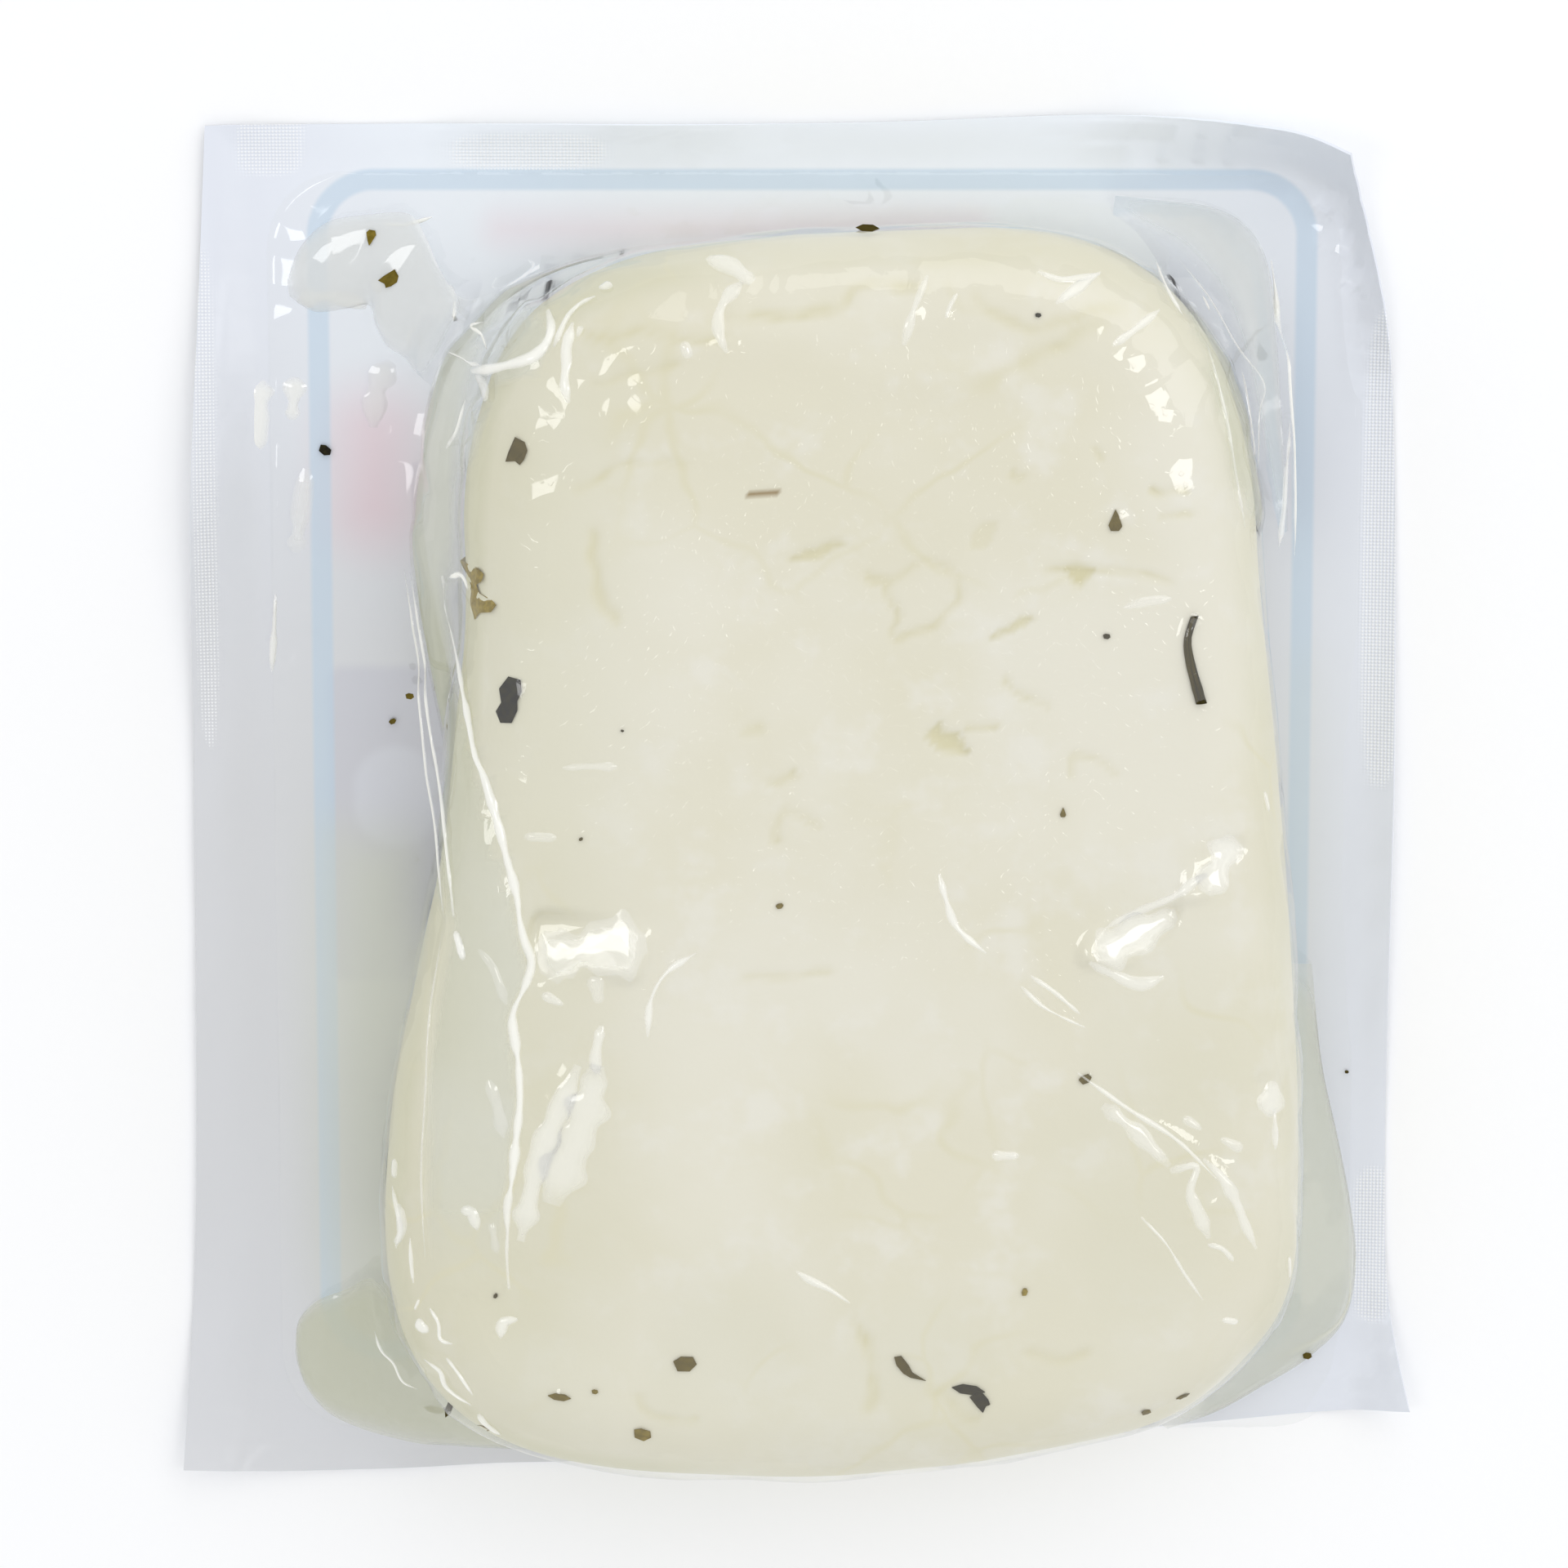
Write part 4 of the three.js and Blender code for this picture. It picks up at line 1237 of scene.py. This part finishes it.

# %% [markdown]
# ## Sharp creases with painted highlights
# Where the film is folded sharply, its folds mirror the softboxes in thin white lines, too fine for the film's
# own grid. Each of these is a narrow ridge of its own that lies on the film: a strip with a rounded crest,
# along a given line, and its white is a painted highlight. Wide and less white ones are painted highlights
# too, where leaning film and the wavy border mirror the softboxes.

# %% Crease lines
# Each crease: its points, its width and how white its painted highlight is.
HIGHLIGHT_RIDGES = [
    ([(-40.5, 24.1), (-39.5, 17.6), (-38.7, 12.4), (-38.1, 6.9), (-37.8, 3.9), (-37.1, -0.6), (-36.6, -6.0),
      (-36.2, -9.9)], 0.47, 0.90),
    ([(-39.9, 23.8), (-39.0, 18.3), (-38.2, 13.4), (-37.4, 8.4), (-36.7, 4.4), (-36.2, 0.2), (-35.5, -5.8),
      (-35.1, -9.8)], 0.64, 1.00),
    ([(-34.9, -11.2), (-34.6, -12.4), (-34.2, -13.9)], 0.96, 0.90),
    ([(-36.4, 24.2), (-35.7, 20.8), (-35.0, 17.9), (-34.3, 14.2), (-33.5, 10.5), (-32.8, 7.1), (-31.9, 5.1),
      (-31.2, 2.9), (-30.4, 0.2), (-29.6, -3.1), (-28.6, -7.0), (-28.3, -9.6), (-27.8, -12.0),
      (-27.1, -14.2), (-27.6, -16.3), (-28.8, -18.9), (-29.1, -20.5), (-28.8, -22.9), (-28.5, -25.5),
      (-28.4, -29.2), (-28.8, -33.0), (-29.3, -37.5), (-29.8, -40.5), (-29.8, -43.1), (-29.9, -45.7),
      (-29.7, -49.3)], 0.89, 1.00),
    ([(-36.3, -11.6), (-37.2, -17.2), (-37.8, -21.5), (-38.2, -28.8), (-38.6, -34.8), (-38.7, -39.2),
      (-38.4, -46.2)], 0.29, 0.39),
    ([(-40.0, -44.4), (-39.9, -47.3), (-39.7, -49.4)], 0.45, 0.78),
    ([(-39.1, -51.0), (-39.6, -52.2)], 0.45, 0.78),
    ([(-38.0, -51.7), (-37.1, -53.2), (-36.9, -55.1), (-35.6, -55.4)], 0.47, 0.90),
    ([(-39.4, -53.3), (-38.8, -54.0), (-38.2, -53.8)], 1.06, 0.90),
    ([(-44.0, -55.7), (-43.2, -57.6), (-42.0, -59.0), (-41.1, -61.0), (-39.5, -62.2)], 0.68, 0.90),
    ([(-38.7, -57.8), (-37.1, -58.8), (-36.4, -60.8), (-33.8, -62.5)], 0.71, 0.95),
    ([(-36.3, -57.0), (-35.1, -58.8), (-33.6, -61.2)], 0.64, 0.95),
    ([(-33.0, -63.5), (-32.4, -64.7), (-30.8, -66.1)], 0.79, 0.90),
    ([(36.8, 57.7), (37.8, 55.1), (39.5, 52.4)], 0.53, 0.78),
    ([(41.6, 54.0), (42.4, 52.4)], 0.45, 0.78),
    ([(38.8, 58.2), (42.1, 54.1), (45.2, 48.9), (48.0, 45.0), (47.5, 41.7), (47.5, 34.8)], 0.26, 0.45),
    ([(45.6, 46.8), (46.4, 42.7), (47.2, 36.6)], 0.39, 0.45),
    ([(42.1, 49.4), (44.0, 42.2), (45.2, 35.3), (46.1, 30.7)], 0.39, 0.45),
    ([(49.8, 55.2), (50.4, 50.8), (50.6, 45.2), (51.2, 36.8), (51.4, 27.1)], 0.53, 0.95),
    ([(51.6, -63.9), (55.5, -62.1), (58.4, -60.0), (59.7, -57.0), (59.6, -53.6)], 0.53, 0.90),
    ([(29.3, -25.8), (34.5, -29.6), (39.7, -33.1), (44.0, -37.5)], 0.49, 0.67),
    ([(36.0, -41.3), (38.6, -44.1), (40.7, -47.6), (42.6, -50.4)], 0.35, 0.67),
    ([(24.4, -15.5), (26.8, -17.2), (29.5, -19.6)], 0.39, 0.67),
    ([(23.4, -16.6), (25.9, -18.9), (30.0, -21.0)], 0.39, 0.67),
    ([(14.9, -4.7), (15.6, -7.4), (16.8, -10.4), (19.8, -13.1)], 0.80, 0.84),
    ([(-10.1, -13.1), (-13.2, -15.2), (-14.8, -18.2), (-15.1, -22.0)], 0.61, 0.78),
    ([(-35.3, 25.1), (-34.3, 25.4), (-33.7, 24.9), (-33.4, 24.1)], 0.73, 1.00),
    ([(-42.8, 59.1), (-40.5, 59.0), (-37.7, 59.8)], 0.47, 0.90),
    ([(-39.4, 48.3), (-40.3, 47.4), (-40.2, 46.2)], 0.35, 0.78),
    ([(-35.8, 47.1), (-33.6, 46.8), (-32.1, 47.1)], 0.42, 0.90),
    ([(-31.7, 51.6), (-32.9, 51.2), (-31.8, 50.3), (-31.3, 48.8)], 0.47, 0.95),
    ([(-33.8, 42.8), (-34.5, 40.1), (-35.8, 37.7)], 0.47, 0.90),
    ([(-22.3, -25.1), (-23.7, -28.5), (-25.5, -32.7), (-26.8, -36.6), (-27.7, -40.6),
      (-28.4, -44.1)], 2.30, 0.62),
    ([(-19.9, -20.9), (-20.5, -24.1), (-20.3, -26.0)], 1.30, 0.62),
    ([(-20.3, -25.0), (-21.2, -29.0), (-22.6, -33.2), (-24.3, -37.2), (-25.2, -40.0)], 3.80, 0.56),
    ([(0.2, -47.0), (1.7, -48.0), (3.7, -49.0), (5.8, -50.5)], 0.68, 0.60),
    ([(50.7, 41.0), (50.4, 36.3), (50.2, 32.0), (49.7, 27.6)], 1.90, 0.60),
    ([(-41.9, -39.4), (-41.3, -42.1), (-41.0, -43.9), (-41.6, -45.9)], 0.80, 0.60),
    ([(16.5, 55.2), (15.8, 54.0), (15.3, 52.7)], 0.40, 0.50),
    ([(31.1, 57.0), (28.8, 55.7), (26.5, 54.2)], 0.94, 0.60),
    ([(37.1, 53.2), (34.9, 51.7), (32.3, 50.0)], 0.81, 0.60),
    ([(-55.9, 42.6), (-56.0, 40.0), (-56.3, 37.4), (-56.7, 34.8)], 2.70, 0.68),
    ([(-52.2, 42.9), (-52.4, 40.8), (-52.6, 38.4)], 2.10, 0.61),
    ([(-60.2, 33.9), (-59.9, 29.2), (-59.7, 24.0), (-59.7, 18.7), (-60.0, 12.4)], 2.00, 0.81),
    ([(-54.6, 19.8), (-54.8, 15.9), (-55.1, 11.5)], 0.60, 0.68),
    ([(-51.1, 33.2), (-51.7, 29.2), (-52.4, 24.3)], 2.20, 0.34),
    ([(-61.0, 44.8), (-61.4, 34.4), (-61.5, 22.2), (-61.6, 11.0)], 0.40, 0.68),
    ([(-34.7, -11.6), (-34.4, -12.7), (-34.1, -14.1)], 0.90, 0.80),
    ([(-31.6, -26.7), (-30.7, -29.5), (-30.1, -32.8)], 1.30, 0.30),
    ([(-34.6, -40.8), (-33.5, -40.9), (-32.9, -42.8)], 1.00, 0.70),
    ([(-31.4, -42.0), (-30.9, -45.3)], 1.20, 0.25),
    ([(-32.5, -12.9), (-31.0, -14.8), (-29.7, -18.6)], 0.80, 0.25),
    ([(-41.2, -41.0), (-40.9, -42.9), (-41.1, -44.5), (-41.7, -45.4)], 1.60, 0.60),
    ([(-41.6, -36.5), (-41.7, -38.5)], 0.94, 0.60),
    ([(-30.6, -54.7), (-30.3, -53.0), (-28.8, -52.6)], 0.94, 0.70),
    ([(44.8, -0.9), (43.8, -3.9), (42.2, -6.8)], 2.90, 0.56),
    ([(42.5, -4.9), (41.0, -5.7), (38.9, -7.3), (34.5, -9.1), (32.0, -10.5)], 0.90, 0.55),
    ([(39.4, -9.2), (37.0, -10.5), (34.8, -11.5), (31.0, -13.5)], 3.50, 0.56),
    ([(30.4, -13.9), (32.8, -15.3), (35.6, -16.4), (38.1, -15.7)], 1.20, 0.56),
    ([(31.9, -29.3), (34.7, -31.5), (36.8, -33.6), (38.9, -35.8)], 1.50, 0.45),
    ([(39.0, -36.4), (41.7, -35.9), (41.1, -38.5), (42.1, -41.1), (43.1, -43.6)], 1.40, 0.60),
    ([(43.0, -44.3), (44.5, -44.8), (45.7, -46.2)], 0.90, 0.60),
    ([(42.4, -35.1), (44.6, -37.4), (46.0, -40.0), (46.9, -42.4), (48.1, -45.1)], 1.30, 0.60),
    ([(49.5, -27.3), (49.5, -28.9), (49.3, -31.1)], 2.70, 0.50),
    ([(49.8, -30.3), (49.9, -32.5), (50.0, -34.7)], 0.80, 0.55),
    ([(40.3, -30.7), (42.2, -32.0)], 1.00, 0.40),
    ([(44.2, -33.0), (46.5, -34.3)], 1.10, 0.40),
    ([(51.7, -46.7), (51.8, -49.2)], 0.50, 0.75),
    ([(44.6, -52.6), (46.3, -53.1)], 0.60, 0.65),
    ([(-33.0, 46.3), (-31.2, 46.7), (-28.9, 47.6), (-26.7, 48.5), (-25.4, 49.6), (-24.7, 51.2),
      (-25.1, 52.8)], 1.02, 1.00),
    ([(-32.5, 46.0), (-31.8, 45.0), (-31.3, 43.6)], 1.60, 0.60),
    ([(-22.9, 44.1), (-23.3, 46.1), (-23.1, 48.1), (-23.1, 49.6), (-22.5, 52.0)], 1.00, 0.85),
    ([(-24.4, 49.6), (-23.2, 52.2), (-21.9, 53.6), (-20.2, 54.5)], 0.70, 0.75),
    ([(-19.6, 55.1), (-18.6, 55.7)], 1.20, 0.60),
    ([(-22.1, 51.2), (-21.5, 51.1)], 1.00, 0.50),
    ([(-36.1, 52.7), (-35.0, 52.0), (-34.7, 50.4)], 0.70, 0.80),
    ([(-44.0, 52.3), (-43.2, 52.8)], 1.30, 0.75),
    ([(-51.9, 51.0), (-49.1, 51.5), (-46.6, 51.1), (-44.6, 50.5)], 1.80, 0.74),
    ([(-42.0, 44.5), (-43.6, 41.9), (-44.1, 37.6)], 3.20, 0.30),
    ([(-8.8, 58.2), (-6.4, 57.5), (-4.2, 56.2)], 2.60, 0.52),
    ([(-5.3, 56.2), (-7.3, 54.0), (-7.7, 51.6), (-6.8, 49.3)], 1.30, 0.55),
    ([(-11.2, 50.4), (-10.7, 48.7)], 1.30, 0.35),
    ([(13.5, 56.9), (12.1, 53.6), (11.1, 50.0)], 1.10, 0.45),
    ([(24.7, 57.2), (27.2, 56.4), (31.0, 56.8)], 0.90, 0.55),
    ([(-26.5, -14.2), (-22.9, -13.2), (-19.1, -12.5), (-15.2, -12.0)], 5.60, 0.40),
    ([(-26.0, -17.6), (-23.8, -18.7)], 1.10, 0.50),
    ([(-20.6, -15.6), (-20.1, -18.5)], 1.40, 0.35),
    ([(-23.7, 6.3), (-21.2, 6.5), (-18.1, 6.5)], 1.10, 0.30),
    ([(-27.7, -0.9), (-24.4, -1.0)], 1.00, 0.32),
    ([(20.5, -34.7), (23.3, -34.7)], 1.30, 0.55),
    ([(33.6, 23.0), (35.8, 23.6), (38.5, 23.9)], 0.80, 0.35),
    ([(48.4, 3.1), (48.9, 1.0)], 0.50, 0.60),
]
print(len(HIGHLIGHT_RIDGES), "sharp creases")

# %% Crease strips
RIDGE_COLUMNS, RIDGE_STEP = 6, 0.35
HIGHEST_CREST, RIDGE_LIFT, RIDGE_THICKNESS = 0.22, 0.06, 0.05


def on_the_film(line):
    """The film's surface above the points of a line, and which way it faces, both smoothed along the line."""
    spots = [(np.hypot(film_grid[..., 0] - x, film_grid[..., 1] - y) * 3 - film_grid[..., 2]).argmin()
             for x, y in line]
    heights = film_grid.reshape(-1, 3)[spots, 2]
    facing = film_normals.reshape(-1, 3)[spots]
    for _ in range(6):
        heights[1:-1] = (heights[:-2] + 2 * heights[1:-1] + heights[2:]) / 4
        facing[1:-1] = (facing[:-2] + 2 * facing[1:-1] + facing[2:]) / 4
    return heights, facing / np.linalg.norm(facing, axis=1)[:, None]


def make_highlight_ridge(points, width, highlight_white):
    length = np.linalg.norm(np.diff(points, axis=0), axis=1).sum()
    rows = max(8, int(length / RIDGE_STEP))
    line = evenly_spaced(smooth_line(points), rows + 1)
    heights, facing = on_the_film(line)
    centre = np.column_stack([line, heights])
    along = np.gradient(centre, axis=0)
    aside = np.cross(along, facing)
    aside /= np.linalg.norm(aside, axis=1)[:, None]
    sheet, column, row = new_sheet(RIDGE_COLUMNS, rows)
    across = 2 * column / RIDGE_COLUMNS - 1
    share = row / rows
    taper = ramp(share, -0.02, 0.18) * ramp(1 - share, -0.02, 0.18)
    ragged = 1 + 0.5 * hills(line[row, 0], line[row, 1], 1.7, 81)
    half = (width / 2 * (0.35 + 0.65 * taper) * ragged)[:, None]
    crest = (min(0.45 * width, HIGHEST_CREST) * taper * (1 - across**2))[:, None]
    laid = centre[row] + aside[row] * across[:, None] * half + facing[row] * (crest + RIDGE_LIFT)
    write_points(sheet, to_metres(laid))
    # The painted highlight: how white it is goes into the depth mark that the veil follows.
    add_mark(sheet, "depth", highlight_white * (0.4 + 0.6 * taper) * (1 - 0.7 * np.abs(across) ** 3))
    add_mark(sheet, "tone", np.zeros(len(laid)))
    thicken(sheet, RIDGE_THICKNESS, painted_highlight_look, underside_look)
    return sheet


film_normals = grid_normals(film_grid)
join_as([make_highlight_ridge(*ridge) for ridge in HIGHLIGHT_RIDGES], "film_creases", "clear_film")

# %% [markdown]
# ## The mint
# Bits of dried mint leaf lie between the film and the cheese, and a few float in the whey. Each bit starts as
# a flat outline that is extruded and inset, so that it has a thin rim and a crumpled middle, and is laid on
# the cheese. The stem is a bar, divided finely and bent along its line.

# %% Outlines of the bits, in millimetres
LEAF_BITS = {
    "leaf": [(-0.2, 1.3), (0.65, 0.9), (0.9, 0.2), (0.6, -0.6), (0.2, -1.1), (-0.2, -0.8), (-1.05, -0.9),
             (-0.8, -0.1), (-0.5, 0.6)],
    "two_lobes": [(-1.6, 2.2), (-0.6, 2.0), (0.2, 2.3), (0.7, 1.9), (0.5, 1.3), (0.0, 0.8), (0.3, 0.1),
                  (1.3, -0.2), (1.8, -0.6), (1.3, -1.3), (0.3, -1.6), (-0.2, -2.4), (-0.6, -1.3),
                  (-0.8, -0.4), (-0.5, 0.5), (-1.0, 1.2)],
    "long": [(-0.2, 2.1), (0.9, 2.0), (1.1, 1.0), (0.8, 0.1), (0.9, -0.7), (0.5, -1.9), (-0.5, -2.1),
             (-1.0, -1.2), (-0.6, -0.3), (-0.9, 0.9)],
    "wedge": [(0.0, 1.0), (0.3, 0.4), (0.6, -0.5), (0.3, -0.9), (-0.4, -0.9), (-0.6, -0.4), (-0.3, 0.3)],
    "chip": [(-0.9, 0.4), (-0.2, 0.7), (0.8, 0.5), (1.0, -0.2), (0.3, -0.7), (-0.7, -0.5)],
    "sliver": [(-1.3, 0.1), (-0.5, 0.45), (0.6, 0.4), (1.3, 0.0), (0.5, -0.35), (-0.6, -0.3)],
    "tailed": [(-1.2, 0.9), (-0.6, 1.1), (0.2, 0.3), (0.6, -0.3), (1.9, -0.9), (0.5, -0.8), (-0.2, -0.5),
               (-0.9, 0.2)],
}
# Each bit: its outline, its place, its size, its turn in degrees, its tone, and its height if it isn't on
# the cheese.
MINT = [
    ("leaf", -28.2, 38.8, 1.0, 0, 0.3), ("wedge", 32.7, 32.0, 1.0, 0, 0.45),
    ("two_lobes", -32.6, 23.6, 1.0, 0, 1.0), ("long", -29.3, 13.1, 1.0, -6, 0.0),
    ("chip", 31.9, 20.0, 0.34, 0, 0.1), ("wedge", 27.6, 1.6, 0.45, 0, 0.6),
    ("chip", -1.5, -8.2, 0.35, 20, 0.6), ("chip", 30.1, -26.6, 0.58, 30, 0.4),
    ("chip", 24.0, -49.5, 0.38, 80, 0.95), ("chip", -11.4, -57.3, 1.05, 10, 0.45),
    ("tailed", 11.7, -57.8, 1.0, -8, 0.3), ("sliver", 18.2, -60.2, 1.15, -6, 0.05),
    ("leaf", 19.5, -61.4, 0.8, 60, 0.05), ("sliver", -24.5, -61.1, 0.8, -4, 0.6),
    ("chip", -20.8, -60.4, 0.3, 0, 0.7), ("chip", -15.9, -65.2, 0.85, -10, 0.75),
    ("sliver", -36.4, -65.2, 0.8, 70, 0.2), ("chip", -32.7, -66.2, 0.6, 20, 0.6),
    ("chip", -17.6, 10.2, 0.15, 0, 0.1), ("chip", -21.9, -1.2, 0.2, 40, 0.3),
    ("chip", 24.7, 53.0, 0.28, 0, 0.0), ("chip", -31.1, -50.2, 0.25, 60, 0.2),
    ("chip", 36.9, -63.4, 0.45, 10, 0.5), ("sliver", 40.8, -61.8, 0.5, 20, 0.5),
    ("sliver", 7.5, 60.6, 0.8, 0, 0.2), ("chip", -49.2, 35.2, 0.62, -30, 0.0, 0.42),
    ("wedge", -44.0, 58.0, 0.75, 170, 0.7, 3.0), ("leaf", -42.0, 53.8, 0.75, -35, 0.5, 4.15),
    ("chip", -40.3, 10.0, 0.4, 0, 0.5, 6.0), ("chip", -42.4, 6.2, 0.35, 30, 0.4, 0.6),
    ("wedge", 48.7, 46.0, 0.85, 15, 0.0, 3.0), ("chip", 59.0, -32.0, 0.2, 0, 0.2, 0.42),
    ("chip", 55.2, -63.4, 0.45, 0, 0.3, 0.7), ("sliver", -38.6, -69.2, 0.8, -10, 0.4, 1.6),
]
print(len(MINT), "bits of mint")

# %% Bits and stem
BIT_THICKNESS, BIT_LIFT, BIT_SIZE = 0.18, 0.06, 1.18
STEM_STEPS, STEM_LIFT = 40, 0.2
# Mint lies on the top and the edge of the cheese, so points lower than this count as being far away.
LOW_ON_THE_SIDE, FAR_AWAY = 8, 50


def on_the_cheese(x, y):
    """The height of the cheese's surface above a place."""
    away = np.hypot(cheese_grid[..., 0] - x, cheese_grid[..., 1] - y)
    away += np.where(cheese_grid[..., 2] < LOW_ON_THE_SIDE, FAR_AWAY, 0)
    return cheese_grid.reshape(-1, 3)[away.argmin(), 2]


def mint_bit(kind, x, y, size, turn, tone, height=None):
    outline = np.array(LEAF_BITS[kind]) * size * BIT_SIZE
    angle = math.radians(turn)
    outline = outline @ np.array([[math.cos(angle), math.sin(angle)], [-math.sin(angle), math.cos(angle)]])
    bpy.ops.object.select_all(action="DESELECT")
    bpy.ops.mesh.primitive_circle_add(vertices=len(outline), radius=1, fill_type="NGON")
    bit = bpy.context.object
    write_points(bit, np.column_stack([outline, np.zeros(len(outline))]))
    bpy.ops.object.mode_set(mode="EDIT")
    bpy.ops.mesh.select_all(action="SELECT")
    bpy.ops.mesh.extrude_region_move(TRANSFORM_OT_translate={"value": (0, 0, BIT_THICKNESS)})
    bpy.ops.mesh.inset(thickness=0.12 * size, depth=0.05 * size)
    bpy.ops.mesh.select_all(action="SELECT")
    bpy.ops.mesh.normals_make_consistent(inside=False)
    bpy.ops.object.mode_set(mode="OBJECT")
    points = read_points(bit)
    crumpled = hills(points[:, 0] + 3 * x, points[:, 1] + 3 * y, 0.9 * size, 71) * (points[:, 2] > 0.1)
    points[:, 2] += 0.06 * size * crumpled
    points += [x, y, BIT_LIFT]
    points[:, 2] += height if height else [on_the_cheese(*spot) for spot in points[:, :2]]
    write_points(bit, to_metres(points))
    add_mark(bit, "tone", np.full(len(points), tone))
    return bit


def mint_stem():
    bpy.ops.object.select_all(action="DESELECT")
    bpy.ops.mesh.primitive_cube_add(size=1)
    stem = bpy.context.object
    bpy.ops.object.mode_set(mode="EDIT")
    bpy.ops.mesh.select_all(action="SELECT")
    bpy.ops.mesh.subdivide(number_cuts=11)
    bpy.ops.object.mode_set(mode="OBJECT")
    points = read_points(stem)
    line = evenly_spaced(smooth_line(STEM), STEM_STEPS)
    halfway = line[STEM_STEPS // 2]
    share = np.clip(points[:, 1] + 0.5, 0, 1)
    shares = np.linspace(0, 1, STEM_STEPS)
    middle = np.stack([np.interp(share, shares, line[:, k]) for k in range(2)], axis=1)
    from_middle = np.maximum(np.hypot(points[:, 0], points[:, 2]), 1e-9)
    squash = np.maximum(np.abs(points[:, 0]), np.abs(points[:, 2])) / from_middle
    half = 0.40 + 0.16 * share + 0.05 * hills(share * 9, share, 1.0, 72)
    across, up = points[:, 0] * squash * 2 * half, points[:, 2] * squash * 1.3 * half
    across -= 0.2 * half * np.exp(-((points[:, 0] / 0.15) ** 2)) * np.sign(points[:, 0])
    height = on_the_cheese(*halfway) + STEM_LIFT
    laid = np.column_stack([middle[:, 0] + across, middle[:, 1] + 0.1 * across, height + up])
    laid[:, 2] -= dome(laid[:, 0], laid[:, 1]) - dome(*halfway)
    write_points(stem, to_metres(laid))
    add_mark(stem, "tone", 0.12 + 0.1 * hills(points[:, 0] * 8, share * 4, 1.0, 73))
    bpy.ops.object.shade_smooth()
    return stem


join_as([mint_bit(*one) for one in MINT] + [mint_stem()], "mint_bits", "mint", mint_look)

# %% [markdown]
# ## The printed backing film
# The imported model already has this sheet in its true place, with its curled corner. A copy of its upper side
# is divided more finely, gets small waves, and is thickened again. Its upper and lower faces take different
# materials, because the print is on the outside.

# %% Backing film
# Where whey lies thin under the level film: the outline and how strong its tint is.
DAMP = [
    ([(-51.5, -8), (-52.5, -40), (-50.0, -61), (-38, -60), (-36, -20), (-38, -6), (-45, -4)], 0.75),
    ([(56.5, 10), (57.5, -30), (57.0, -60), (48, -66), (50, -40), (51, 8)], 0.3),
]
# Where the crossed pattern of the sealing bar shows: the left, right, near and far end of each patch.
SEAL_PATCHES = [(-57.5, -51.5, 64.6, 70), (-34.5, -21, 64.9, 68.5), (60, 64, 4, 46), (60, 64, -58, -44),
                (-62.8, -60.6, 8, 52)]
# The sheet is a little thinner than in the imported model.
BACKING_THICKNESS = 0.93 * FILM_TOP


def make_backing():
    cad = frame["nodes"]["backing_film"]
    bpy.ops.object.select_all(action="DESELECT")
    cad.select_set(True)
    bpy.context.view_layer.objects.active = cad
    bpy.ops.object.duplicate()
    sheet = bpy.context.object
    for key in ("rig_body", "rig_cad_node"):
        if key in sheet:
            del sheet[key]
    sheet.parent = None
    sheet.hide_render = False
    sheet.data.materials.clear()
    only(sheet)
    bpy.ops.object.mode_set(mode="EDIT")
    bpy.ops.mesh.select_all(action="SELECT")
    bpy.ops.mesh.remove_doubles(threshold=0.00001)
    bpy.ops.mesh.select_all(action="DESELECT")
    bpy.ops.object.mode_set(mode="OBJECT")
    for face in sheet.data.polygons:
        face.select = face.normal.z < 0.3
    bpy.ops.object.mode_set(mode="EDIT")
    bpy.ops.mesh.select_mode(type="FACE")
    bpy.ops.mesh.delete(type="FACE")
    bpy.ops.mesh.select_all(action="SELECT")
    bpy.ops.mesh.tris_convert_to_quads(face_threshold=0.9, shape_threshold=3.1)
    bpy.ops.mesh.subdivide(number_cuts=4, smoothness=0.8)
    bpy.ops.object.mode_set(mode="OBJECT")
    points = read_points(sheet) / MM - SHIFT
    x, y = points[:, 0], points[:, 1]
    out = np.maximum.reduce([WELD["left"] - x, x - WELD["right"], WELD["near"] - y, y - WELD["far"]])
    border = ramp(out, 0.5, 6)
    points[:, 2] += border * (0.42 * (hills(x, 0.45 * y, 9, 61) + 1) + 0.14 * (facets(x, 0.6 * y, 6, 62) + 1))
    write_points(sheet, to_metres(points))
    seal = np.zeros(len(x))
    for left, right, near, far in SEAL_PATCHES:
        box = [(left, near), (right, near), (right, far), (left, far)]
        seal = np.maximum(seal, ramp(inside(box, x, y), -0.4, 1.0))
    add_mark(sheet, "seal", seal)
    damp = np.zeros(len(x))
    for outline, strength in DAMP:
        damp = np.maximum(damp, strength * ramp(inside(outline, x, y), -3, 8))
    add_mark(sheet, "damp", damp)
    thicken(sheet, BACKING_THICKNESS)
    return sheet


backing = make_backing()
finish_piece(backing, "backing_sheet", "printed_film", inside_print, outside_print)
for face in backing.data.polygons:
    face.material_index = 1 if face.normal.z < 0 else 0
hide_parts("backing_film")
